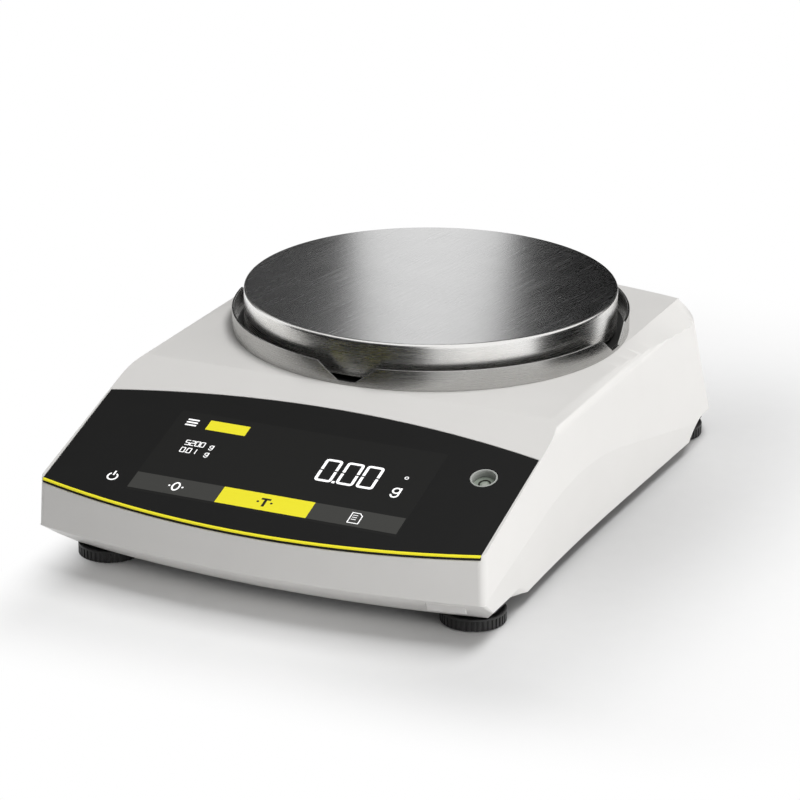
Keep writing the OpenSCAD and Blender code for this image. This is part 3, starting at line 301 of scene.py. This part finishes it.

# The deck under the pan is painted near black: painted shade for the dark gap under the pan.
light_shell = moulded("light_shell", (0.76, 0.748, 0.728), 0.42, well=((0, PAN_Y * MM, 0), PAN_SHADE_R * MM))
# A darker copy of the housing plastic: painted shade for the shaded chin, where the flap lies.
flap_painted_shade = moulded("flap_painted_shade", (0.66, 0.65, 0.634), 0.4)
dark_tray = moulded("dark_tray", (0.055, 0.055, 0.056), 0.55, 0.0008, 0.00004, 0.4)
wheel_black = moulded("wheel_black", (0.02, 0.02, 0.02), 0.42, 0.0006)
socket_black = moulded("socket_black", (0.03, 0.03, 0.03), 0.4)
ribbon_grey = moulded("ribbon_grey", (0.55, 0.55, 0.56), 0.5, 0.0012)
level_grey = moulded("level_grey", (0.42, 0.43, 0.41), 0.4)
# The strip's glow is painted light, so that the yellow holds its colour in shade.
accent_gloss = lit("accent_gloss", (0.9, 0.81, 0.03), 0.18, 0.3, 0.3)
pan_brushed = metal("pan_brushed", (0.66, 0.66, 0.66), 0.25, BRUSH, BRUSH_TURN, 0.0, FAINT)
pan_polished = metal("pan_polished", (0.88, 0.872, 0.855), 0.27, ROUND, 0.0, 0.03, FAINT, 0.04)
ring_sheet = metal("ring_sheet", (0.48, 0.475, 0.465), 0.27, ROUND, 0.0, 0.03, FAINT, 0.04)
plain_steel = metal("plain_steel", (0.62, 0.615, 0.6), 0.25)
machined = metal("machined", (0.72, 0.72, 0.73), 0.33, (0.02, 0.0006, 0.02))
bronze = metal("bronze", (0.62, 0.42, 0.18), 0.28)
iron = metal("iron", (0.2, 0.2, 0.21), 0.5, cube_of(0.001))
copper = winding("copper", (0.65, 0.3, 0.14))
board_green = circuit("board_green", (0.02, 0.13, 0.055))
seal_black = rubber("seal_black", (0.012, 0.012, 0.012))
foot_rubber = rubber("foot_rubber", (0.02, 0.02, 0.02))
front_glass = black_glass("front_glass", (0.016, 0.016, 0.0158))
screen_glow = lit("screen_glow", (0.0175, 0.0175, 0.017), 0.1, 0.28, 0.06)
# The glow on the keys, and on the print among the white marks, is painted light that keeps them bright in
# shade.
key_grey = lit("key_grey", (0.052, 0.052, 0.049), 0.2, 0.28, 0.06)
key_yellow = lit("key_yellow", (0.86, 0.78, 0.035), 0.12)
mark_white = lit("mark_white", (0.85, 0.85, 0.85), 0.6)
mark_dark = lit("mark_dark", (0.03, 0.03, 0.025), 0.0)
vial_green = liquid("vial_green", (0.30, 0.34, 0.29))
bubble_pale = liquid("bubble_pale", (0.40, 0.43, 0.38))


# Modelling by hand

def clear():
    if bpy.context.object and bpy.context.object.mode != "OBJECT":
        bpy.ops.object.mode_set(mode="OBJECT")
    bpy.ops.object.select_all(action="DESELECT")


def hold(obj):
    clear()
    obj.select_set(True)
    bpy.context.view_layer.objects.active = obj


def made(name):
    obj = bpy.context.object
    obj.name = name
    obj.data.name = name
    return obj


def edit(obj, kind="FACE"):
    hold(obj)
    bpy.ops.object.mode_set(mode="EDIT")
    bpy.ops.mesh.select_mode(type=kind)
    bpy.ops.mesh.select_all(action="DESELECT")


def pick(obj, faces=None, edges=None):
    """Selects faces or edges by a test on them and goes on in edit mode."""
    bpy.ops.object.mode_set(mode="OBJECT")
    for item in obj.data.polygons:
        item.select = bool(faces and faces(item))
    for item in obj.data.edges:
        item.select = bool(edges and edges([obj.data.vertices[i].co for i in item.vertices]))
    bpy.ops.object.mode_set(mode="EDIT")


def drop(obj, faces):
    """Deletes the faces that pass a test."""
    edit(obj)
    pick(obj, faces=faces)
    bpy.ops.mesh.delete(type="FACE")
    bpy.ops.object.mode_set(mode="OBJECT")
    return obj


def apply_modifier(obj, kind, **settings):
    hold(obj)
    mod = obj.modifiers.new(kind.lower(), kind)
    for key, value in settings.items():
        setattr(mod, key, value)
    bpy.ops.object.modifier_apply(modifier=mod.name)


def smooth(obj, degrees=35):
    hold(obj)
    bpy.ops.object.shade_smooth_by_angle(angle=math.radians(degrees))


def ease(obj, width, degrees=28, segments=3):
    """Rounds every edge sharper than the angle."""
    apply_modifier(obj, "BEVEL", width=width * MM, segments=segments, limit_method="ANGLE",
                   angle_limit=math.radians(degrees), harden_normals=False, miter_outer="MITER_ARC")


def settle(obj):
    """Leaves a piece at the origin, unturned and unscaled."""
    hold(obj)
    bpy.ops.object.transform_apply(location=True, rotation=True, scale=True)


def outward(obj):
    """Joins what touches and turns all faces outwards."""
    edit(obj)
    bpy.ops.mesh.select_all(action="SELECT")
    bpy.ops.mesh.remove_doubles(threshold=1e-6)
    bpy.ops.mesh.normals_make_consistent(inside=False)
    bpy.ops.object.mode_set(mode="OBJECT")


def dress(obj, material, body, slot, *replaced):
    if material:
        obj.data.materials.clear()
        obj.data.materials.append(material)
    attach(obj, body)
    if replaced:
        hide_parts(*replaced)
    return obj


def solid_copy(node, name):
    """A copy of a CAD solid with its triangles merged into whole faces."""
    obj = bpy.data.objects.new(name, NODES[node].data.copy())
    bpy.context.scene.collection.objects.link(obj)
    edit(obj)
    bpy.ops.mesh.select_all(action="SELECT")
    bpy.ops.mesh.remove_doubles(threshold=2e-6)
    bpy.ops.mesh.dissolve_limited(angle_limit=math.radians(0.3))
    bpy.ops.object.mode_set(mode="OBJECT")
    obj.data.materials.clear()
    return obj


def crease(obj, on_line):
    """Keeps the shallow edges sharp whose ends pass a test on their place."""
    sides = {}
    for face in obj.data.polygons:
        for key in face.edge_keys:
            sides.setdefault(key, []).append(face.normal)
    edit(obj, "EDGE")
    bpy.ops.object.mode_set(mode="OBJECT")
    for item in obj.data.edges:
        faces = sides.get(item.key, [])
        item.select = (len(faces) == 2 and math.radians(1) < faces[0].angle(faces[1])
                       and all(on_line(obj.data.vertices[i].co) for i in item.vertices))
    bpy.ops.object.mode_set(mode="EDIT")
    bpy.ops.mesh.mark_sharp()
    bpy.ops.object.mode_set(mode="OBJECT")


def eased_copy(node, name, width, material, body, slot, degrees=28, creased=None, raised=0.0):
    """A CAD solid with its edges eased. Some lines can stay sharp, and its underside can be raised."""
    obj = solid_copy(node, name)
    if raised:
        edit(obj)
        pick(obj, faces=lambda f: f.normal.dot(FACE_UP) < -0.9)
        bpy.ops.transform.translate(value=raised * MM * FACE_UP)
        bpy.ops.object.mode_set(mode="OBJECT")
    ease(obj, width, degrees)
    smooth(obj)
    if creased:
        crease(obj, creased)
    apply_modifier(obj, "WEIGHTED_NORMAL", keep_sharp=True)
    return dress(obj, material, body, slot, node)


def housing_line(c):
    """On the arch of the side, the line of the chin or the inner line of the deck's side bevel."""
    x, y, z = abs(c.x) / MM, c.y / MM, c.z / MM
    arch = x > ARCH_X and ARCH_Z[0] < z < ARCH_Z[1]
    chin = y < CHIN_Y and z < CHIN_Z
    bevel = abs(x - RING_R) < NEAR and z > DECK_Z - NEAR
    return arch or chin or bevel


def weighing_plate():
    """The pan: a disc with a rounded rim over a thin skirt."""
    height = PAN_SKIRT * MM
    bpy.ops.mesh.primitive_cylinder_add(vertices=256, radius=PAN_R * MM, depth=height,
                                        location=(0, PAN_Y * MM, PAN_TOP * MM - height / 2))
    pan = made("weighing_plate")
    settle(pan)
    top, low = PAN_TOP * MM, PAN_TOP * MM - height
    edit(pan)
    pick(pan, faces=lambda f: f.normal.z < -0.9)
    bpy.ops.mesh.inset(thickness=PAN_SHEET * MM)
    bpy.ops.mesh.extrude_region_move(TRANSFORM_OT_translate={"value": (0, 0, height - PAN_SHEET * MM)})
    bpy.ops.mesh.select_mode(type="EDGE")
    pick(pan, edges=lambda ends: all(abs(c.z - top) < 1e-6 for c in ends))
    bpy.ops.mesh.bevel(offset=PAN_ROUND * MM, segments=6, profile=0.5)
    pick(pan, edges=lambda ends: all(abs(c.z - low) < 1e-6 for c in ends))
    bpy.ops.mesh.bevel(offset=PAN_HEM * MM, segments=3, profile=0.5)
    outward(pan)
    pan.data.materials.append(pan_polished)
    pan.data.materials.append(pan_brushed)
    for face in pan.data.polygons:
        face.material_index = 1 if face.normal.z > 0.98 and face.center.z > top - 0.2 * MM else 0
    smooth(pan, 40)
    apply_modifier(pan, "WEIGHTED_NORMAL", keep_sharp=True)
    return dress(pan, None, "pan", "steel_pan", "weighing_pan")


def grip_wheel(key):
    """A levelling wheel with ribs under a smooth top rim and a hollow for its pad."""
    x, y = FEET[key]
    low, high = WHEEL_LOW * MM, (WHEEL_TOP - WHEEL_RIM) * MM
    sides = WHEEL_RIBS * SIDES_PER_RIB
    bpy.ops.mesh.primitive_cylinder_add(vertices=sides, radius=WHEEL_R * MM, depth=high - low,
                                        location=(x * MM, y * MM, (low + high) / 2))
    wheel = made("grip_wheel_" + key)
    settle(wheel)
    middle = Vector((x * MM, y * MM))
    edit(wheel)
    pick(wheel, faces=lambda f: f.normal.z > 0.9)
    bpy.ops.mesh.extrude_region_move(TRANSFORM_OT_translate={"value": (0, 0, WHEEL_RIM * MM)})
    bpy.ops.mesh.inset(thickness=RIM_FLAT * MM)
    bpy.ops.mesh.inset(thickness=RIM_STEP * MM, depth=-RIM_DROP * MM)
    pick(wheel, faces=lambda f: f.normal.z < -0.9)
    bpy.ops.mesh.inset(thickness=(WHEEL_R - PAD_HOLE_R) * MM)
    bpy.ops.mesh.extrude_region_move(TRANSFORM_OT_translate={"value": (0, 0, PAD_HOLE * MM)})
    step = 2 * math.pi / sides

    def groove(f):
        far_out = (f.center.xy - middle).length >= RIBS_FROM_R * MM
        if abs(f.normal.z) > 0.1 or f.center.z > high or not far_out:
            return False
        turn = math.atan2(f.center.y - middle.y, f.center.x - middle.x)
        return round(turn / step - 0.5) % SIDES_PER_RIB in (0, 1)

    pick(wheel, faces=groove)
    bpy.ops.mesh.extrude_region_shrink_fatten(TRANSFORM_OT_shrink_fatten={"value": -GROOVE * MM})
    outward(wheel)
    ease(wheel, 0.16, 30, 2)
    smooth(wheel, 32)
    return dress(wheel, wheel_black, "wheel_" + key, "plastic_black", "foot_wheel_" + key)


# Marks on the glass, drawn flat in millimetres across it and up its slope, then laid on it

# The thickness of each layer
FIELD, KEY, MARK = 0.02, 0.05, 0.09
# The row of keys, the height of a key and the middle of the power sign and of the page sign
KEYS_S, KEY_H = 10.2, 11.1
POWER_X, POWER_S = -76.3, 9.6
PAGE_X = 44


def tile(x, s, w, h, corner=0.0):
    """A flat tile with its corners cut round."""
    bpy.ops.mesh.primitive_plane_add(size=1, location=(x * MM, s * MM, 0))
    obj = bpy.context.object
    obj.scale = (w * MM, h * MM, 1)
    settle(obj)
    if corner:
        edit(obj, "VERT")
        bpy.ops.mesh.select_all(action="SELECT")
        bpy.ops.mesh.bevel(offset=corner * MM, segments=4, affect="VERTICES")
        bpy.ops.object.mode_set(mode="OBJECT")
    return obj


def hollow(obj, stroke):
    """Leaves only a band along a flat tile's outline."""
    edit(obj)
    bpy.ops.mesh.select_all(action="SELECT")
    bpy.ops.mesh.inset(thickness=stroke * MM)
    bpy.ops.mesh.delete(type="FACE")
    bpy.ops.object.mode_set(mode="OBJECT")
    return obj


def part_across(obj, s, gap):
    """Cuts a gap across a drawn band."""
    edit(obj)
    for side in (-1, 1):
        bpy.ops.mesh.select_all(action="SELECT")
        bpy.ops.mesh.bisect(plane_co=(0, (s + side * gap / 2) * MM, 0), plane_no=(0, 1, 0))
    return drop(obj, lambda f: abs(f.center.y - s * MM) < gap / 2 * MM)


def disc(x, s, r, tall=1.0):
    bpy.ops.mesh.primitive_circle_add(vertices=32, radius=r * MM, fill_type="NGON",
                                      location=(x * MM, s * MM, 0))
    obj = bpy.context.object
    obj.scale = (1, tall, 1)
    settle(obj)
    return obj


def small_g(x, s, r, stroke):
    """The unit g: a bowl, a stem and a hook below."""
    low = s - 1.3 * r
    hook = drop(hollow(disc(x, low, r), stroke), lambda f: f.center.y > low * MM)
    return [hollow(disc(x, s, r), stroke), tile(x + r - stroke / 2, s - 0.15 * r, stroke, 2.3 * r), hook]


# The bars of a figure, from its top clockwise and then across its middle
FIGURE_BARS = {"0": (1, 1, 1, 1, 1, 1, 0), "1": (0, 1, 1, 0, 0, 0, 0), "2": (1, 1, 0, 1, 1, 0, 1),
               "5": (1, 0, 1, 1, 0, 1, 1)}


def figures(text, x, s, w, h, stroke):
    """Plain seven-bar figures in a row, from their left lower corner."""
    bars = []
    gap = 1.5 * stroke
    for sign in text:
        if sign == ".":
            bars.append(tile(x, s + stroke / 2, stroke, stroke))
            x += gap
            continue
        across = [(x + w / 2, s + h), None, None, (x + w / 2, s), None, None, (x + w / 2, s + h / 2)]
        along = [None, (x + w, s + 0.75 * h), (x + w, s + 0.25 * h), None,
                 (x, s + 0.25 * h), (x, s + 0.75 * h), None]
        for shown, flat, tall in zip(FIGURE_BARS[sign], across, along):
            if shown and flat:
                bars.append(tile(*flat, w, stroke))
            elif shown:
                bars.append(tile(*tall, stroke, h / 2))
        x += w + gap
    return bars


def small_print(text, s):
    """A line of small figures beside the reading."""
    x, wide, tall, stroke = -54.4, 1.9, 3.2, 0.42
    return figures(text, x, s, wide, tall, stroke)


def digit_zero(x):
    """One large zero of the reading, parted at its middle."""
    s, wide, tall, corner, stroke, gap = 38, 8.4, 15.6, 1.7, 1.35, 0.9
    return part_across(hollow(tile(x, s, wide, tall, corner), stroke), s, gap)


def power_sign():
    """A ring that is open at its top, and a stroke in the opening."""
    ring = drop(hollow(disc(POWER_X, POWER_S, 2.7), 0.75),
                lambda f: abs(f.center.x - POWER_X * MM) < 1.1 * MM and f.center.y > POWER_S * MM)
    return [ring, tile(POWER_X, 12, 0.75, 3.0)]


def page_sign():
    """A page with one corner cut and three lines of writing."""
    page = tile(PAGE_X, KEYS_S, 5.6, 7.2)
    edit(page, "VERT")
    bpy.ops.object.mode_set(mode="OBJECT")
    for corner in page.data.vertices:
        corner.select = corner.co.x > PAGE_X * MM and corner.co.y > KEYS_S * MM
    bpy.ops.object.mode_set(mode="EDIT")
    bpy.ops.mesh.bevel(offset=1.6 * MM, segments=1, affect="VERTICES")
    bpy.ops.object.mode_set(mode="OBJECT")
    return [hollow(page, 0.45)] + [tile(43.4, 10.6 + 1.4 * i, 2.4, 0.35) for i in (-1, 0, 1)]


def lay(parts, name, material, thickness):
    """Joins flat marks, gives them a print's thickness and lays them on the glass."""
    clear()
    for obj in parts:
        obj.select_set(True)
    bpy.context.view_layer.objects.active = parts[0]
    if len(parts) > 1:
        bpy.ops.object.join()
    obj = made(name)
    apply_modifier(obj, "SOLIDIFY", thickness=thickness * MM, offset=1.0)
    obj.data.transform(FACE)
    return dress(obj, material, "base", "display_black")


def display_marks():
    lay([tile(0, 32.5, 133, 59, 0.4)], "screen_field", screen_glow, FIELD)
    lay([tile(x, KEYS_S, 43.6, KEY_H, 0.2) for x in (-44.5, 44.1)], "grey_keys", key_grey, KEY)
    lay([tile(-0.1, KEYS_S, 44.8, KEY_H, 0.2)], "yellow_key", key_yellow, KEY)
    lay([tile(-39.9, 54.8, 20.2, 6.8, 0.2)], "yellow_chip", key_yellow, KEY)
    reading = [digit_zero(x) for x in (18.6, 29.2, 38.9)] + [tile(23.9, 30.9, 1.4, 1.4)]
    steady = [hollow(disc(55, 41.8, 1.0), 0.4)]
    units = small_g(54.2, 32.4, 2.1, 0.8) + small_g(-41, 40.2, 1.05, 0.4) + small_g(-41, 34.9, 1.05, 0.4)
    zero_key = [disc(x, KEYS_S, 0.5) for x in (-47.7, -41.1)] + [hollow(disc(-44.4, KEYS_S, 2.0, 1.5), 0.8)]
    menu = [tile(-58, 54.6 + 1.9 * i, 5.6, 0.9) for i in (-1, 0, 1)]
    limits = small_print("5200", 39) + small_print("0.01", 33.7)
    lay(reading + zero_key + menu + power_sign() + page_sign() + steady + units + limits,
        "white_marks", mark_white, MARK)
    lay([tile(-0.1, 12.2, 4.6, 1.2), tile(-0.1, 9.8, 1.3, 5.4), disc(-3.4, 10.0, 0.6), disc(3.2, 10.0, 0.6)],
        "dark_marks", mark_dark, MARK)


def bubble_level():
    """The vial with its target ring and bubble, at the bottom of its cup."""
    x, s = LEVEL
    top = LEVEL_TOP * MM
    turn = FACE @ Matrix.Translation((x * MM, s * MM, 0))

    def seat(obj, material, slot, *replaced):
        obj.data.transform(turn)
        smooth(obj, 40)
        return dress(obj, material, "base", slot, *replaced)

    bpy.ops.mesh.primitive_cylinder_add(vertices=64, radius=VIAL_R * MM, depth=VIAL_H * MM,
                                        location=(0, 0, top - 0.95 * MM))
    vial = made("level_lens")
    settle(vial)
    edit(vial)
    pick(vial, faces=lambda f: f.normal.z > 0.9)
    bpy.ops.mesh.inset(thickness=1.2 * MM)
    bpy.ops.transform.translate(value=(0, 0, 0.1 * MM))
    bpy.ops.object.mode_set(mode="OBJECT")
    seat(vial, vial_green, "level_clear", "level_vial")
    bpy.ops.mesh.primitive_circle_add(vertices=64, radius=TARGET_R * MM, fill_type="NGON",
                                      location=(0, 0, top + 0.02 * MM))
    target = made("level_target")
    settle(target)
    hollow(target, 0.9)
    apply_modifier(target, "SOLIDIFY", thickness=0.12 * MM, offset=1.0)
    seat(target, mark_dark, "rubber_black")
    bpy.ops.mesh.primitive_uv_sphere_add(segments=32, ring_count=12, radius=BUBBLE_R * MM,
                                         location=(0, 0, top))
    bubble = made("level_bubble")
    bubble.scale = (1, 1, 0.25)
    settle(bubble)
    edit(bubble)
    bpy.ops.mesh.select_all(action="SELECT")
    bpy.ops.mesh.bisect(plane_co=(0, 0, top), plane_no=(0, 0, 1), clear_inner=True, use_fill=True)
    bpy.ops.object.mode_set(mode="OBJECT")
    seat(bubble, bubble_pale, "level_clear")


# The balance

eased_copy("upper_housing", "light_housing", 0.4, light_shell, "base", "housing_light", 50, housing_line)
eased_copy("service_flap", "chin_flap", 0.2, flap_painted_shade, "base", "housing_light")
eased_copy("display_glass", "front_panel", 0.2, front_glass, "base", "display_black")
eased_copy("accent_strip", "accent_line", 0.15, accent_gloss, "base", "accent_yellow", raised=0.4)
eased_copy("level_cup", "level_well", 0.2, level_grey, "base", "level_grey")
eased_copy("shield_ring", "draft_ring", 0.22, ring_sheet, "shield", "steel_plain")
eased_copy("base_tray", "floor_tray", 0.4, dark_tray, "base", "tray_dark", 40)
weighing_plate()
for key in FEET:
    grip_wheel(key)
display_marks()
bubble_level()

# The finish of each CAD solid that stays as it is
NODE_FINISH = {
    seal_black: ["glass_gasket", "pan_bumpers"],
    foot_rubber: ["foot_pad_" + key for key in FEET],
    dark_tray: ["hanger_cover"],
    socket_black: ["display_module", "position_sensor", "lift_motor", "power_inlet"],
    board_green: ["display_board", "main_board"],
    plain_steel: ["overload_stops", "lift_screw", "lift_rod", "test_weight", "housing_screws", "cell_screws",
                  "data_port"] + ["foot_stud_" + key for key in FEET],
    machined: ["pan_support", "load_carrier", "cell_frame", "upper_guide", "lower_guide", "balance_lever",
               "lift_carriage"],
    bronze: ["coupling_strip", "foot_inserts"],
    copper: ["force_coil"],
    iron: ["magnet_pot"],
    ribbon_grey: ["ribbon_cable"],
}
for finish, names in NODE_FINISH.items():
    for name in names:
        NODES[name].data.materials.clear()
        NODES[name].data.materials.append(finish)


# Studio, in metres

# The balance's outline on the floor at its rear right and front left, and how far its shadow fades past each
FAR_CORNER, FAR_FADE = (0.115, 0.163, 1), (0.17, 0.2, 1)
NEAR_CORNER, NEAR_FADE = (-0.085, -0.178, -1), (0.04, 0.075, 1)
# The painted shadow on the floor under the right side, and the floor's tones in and outside it
PAINTED_SHADOW_MIDDLE, PAINTED_SHADOW_SIZE = (0.11, 0, 0), (0.13, 0.3, 1)
PAINTED_SHADOW_TONE, FLOOR_TONE = 0.56, 0.92
# The floor's own glow in bounced light, and the sky's level in it
FLOOR_BOUNCE = 0.1
SKY_FILL = 0.27
# Where the two dark cards behind the balance meet, and how a card lies down
SLOT = (-0.150, 0.379, 0.0)
LYING = Matrix.Rotation(math.radians(90), 4, "X")
AIM = (0, 0, 0.05)
CAMERA_PLACE = Vector((0.6243, -1.3736, 0.6111))
CAMERA_AIM = Vector((0.0453, -0.0974, 0.0883))
CAMERA_ROLL = math.radians(0.16)


def studio_floor():
    """A white floor that keeps the shadow near the balance and turns plain white past it. A painted shadow
    darkens it under the right side.
    """
    bpy.ops.mesh.primitive_plane_add(size=12, location=(0, 0, 0))
    floor = made("studio_floor")
    f = Finish("studio_floor")

    def past(first, second, fade):
        """How far one place lies past another along each axis, in units of the fade."""
        return f.vector("DIVIDE", f.vector("MAXIMUM", f.vector("SUBTRACT", first, second), (0, 0, 0)), fade)

    # Painted shadow: the floor's colour is darker towards the right side of the balance.
    aside = f.length(f.place(PAINTED_SHADOW_SIZE, middle=PAINTED_SHADOW_MIDDLE))
    tone = f.ramp(aside, PAINTED_SHADOW_TONE, FLOOR_TONE) + 0.02 * f.noise(cube_of(0.01))
    f.surface(Base_Color=f.add("ShaderNodeCombineColor", {}, {0: tone, 1: tone, 2: tone}), Roughness=0.9)
    glow = f.add("ShaderNodeEmission", {}, {"Color": (1, 1, 1, 1), "Strength": 1.0})
    spot = f.spot()
    away = f.vector("ADD", past(spot, FAR_CORNER, FAR_FADE), past(NEAR_CORNER, spot, NEAR_FADE))
    direct = f.direct_rays()
    share = direct * f.ramp(f.length(away)) + FLOOR_BOUNCE * (1.0 - direct)
    mixed = f.add("ShaderNodeMixShader", {}, {0: share, 1: Wire(f, f.shader.outputs[0]), 2: glow})
    f.plug(f.tree.nodes["Material Output"].inputs["Surface"], mixed)
    floor.data.materials.append(f.material)


def flag(name, pose, width, height, dark):
    """A dark card on edge, that only mirror-like surfaces see."""
    bpy.ops.mesh.primitive_plane_add(size=1, location=(0, 0, height / 2), rotation=(math.radians(90), 0, 0))
    card = made(name)
    card.scale = (width, height, 1)
    settle(card)
    card.matrix_world = pose
    card.visible_camera = False
    card.visible_diffuse = False
    card.visible_shadow = False
    card.visible_transmission = False
    f = Finish(name)
    cloth = f.noise(cube_of(0.05))
    f.surface(Base_Color=f.blend(cloth, shade(cube_of(dark), 1.0), shade(cube_of(dark), 1.2)), Roughness=1.0,
              Specular_IOR_Level=0.0)
    card.data.materials.append(f.material)


def stand(place, turn, lean=0.0, aside=0.0):
    """Where a card stands, turned about Z, leaning in its own plane and moved aside."""
    return (Matrix.Translation(place) @ Matrix.Rotation(math.radians(turn), 4, "Z")
            @ Matrix.Rotation(math.radians(lean), 4, "Y") @ Matrix.Translation((aside, 0, 0)))


def softbox(name, place, width, height, power):
    """A lamp that mirror-like surfaces don't see."""
    bpy.ops.object.light_add(type="AREA", location=place)
    lamp = bpy.context.object
    lamp.name = name
    lamp.data.shape = "RECTANGLE"
    lamp.data.size = width
    lamp.data.size_y = height
    lamp.data.energy = power
    lamp.visible_glossy = False
    lamp.rotation_euler = (Vector(AIM) - Vector(place)).to_track_quat("-Z", "Y").to_euler()


def sky():
    """White to the camera and in mirrors, and a weaker fill for the light."""
    world = bpy.data.worlds.new("studio_sky")
    bpy.context.scene.world = world
    world.use_nodes = True
    n = Nodes(world.node_tree)
    back = n.tree.nodes["Background"]
    level = n.add("ShaderNodeMapRange", {}, {"Value": n.direct_rays(), "To Min": SKY_FILL, "To Max": 1.0})
    n.plug(back.inputs["Strength"], level)
    n.plug(back.inputs["Color"], (1, 1, 1, 1))


def photographer():
    bpy.ops.object.camera_add(location=CAMERA_PLACE)
    camera = bpy.context.object
    turn = (CAMERA_AIM - CAMERA_PLACE).to_track_quat("-Z", "Y").to_matrix()
    camera.rotation_euler = (turn @ Matrix.Rotation(CAMERA_ROLL, 3, "Z")).to_euler()
    camera.data.sensor_width = 36
    camera.data.lens = 152.1
    camera.data.clip_start = 0.05
    camera.data.clip_end = 50
    bpy.context.scene.camera = camera


clear()
studio_floor()
flag("left_flag", stand(SLOT, 24, 4, -0.36), 0.6, 0.9, 0.06)
flag("right_flag", stand(SLOT, 24, -4, 0.36), 0.6, 0.9, 0.008)
flag("front_flag", stand((-0.14, -0.31, 0), -21), 0.68, 0.5, 0.015)
flag("front_floor_flag", Matrix.Translation((-0.15, -0.17, 0.002)) @ LYING, 0.6, 0.45, 0.015)
flag("side_flag", stand((0.2, 0.09, 0), 90), 0.2, 0.14, 0.01)
softbox("key_light", (0.55, 0.08, 1.9), 1.6, 0.7, 27)
softbox("side_light", (2.05, -0.5, 0.3), 1.4, 0.5, 20)
sky()
photographer()
bpy.context.scene.view_settings.view_transform = "Standard"
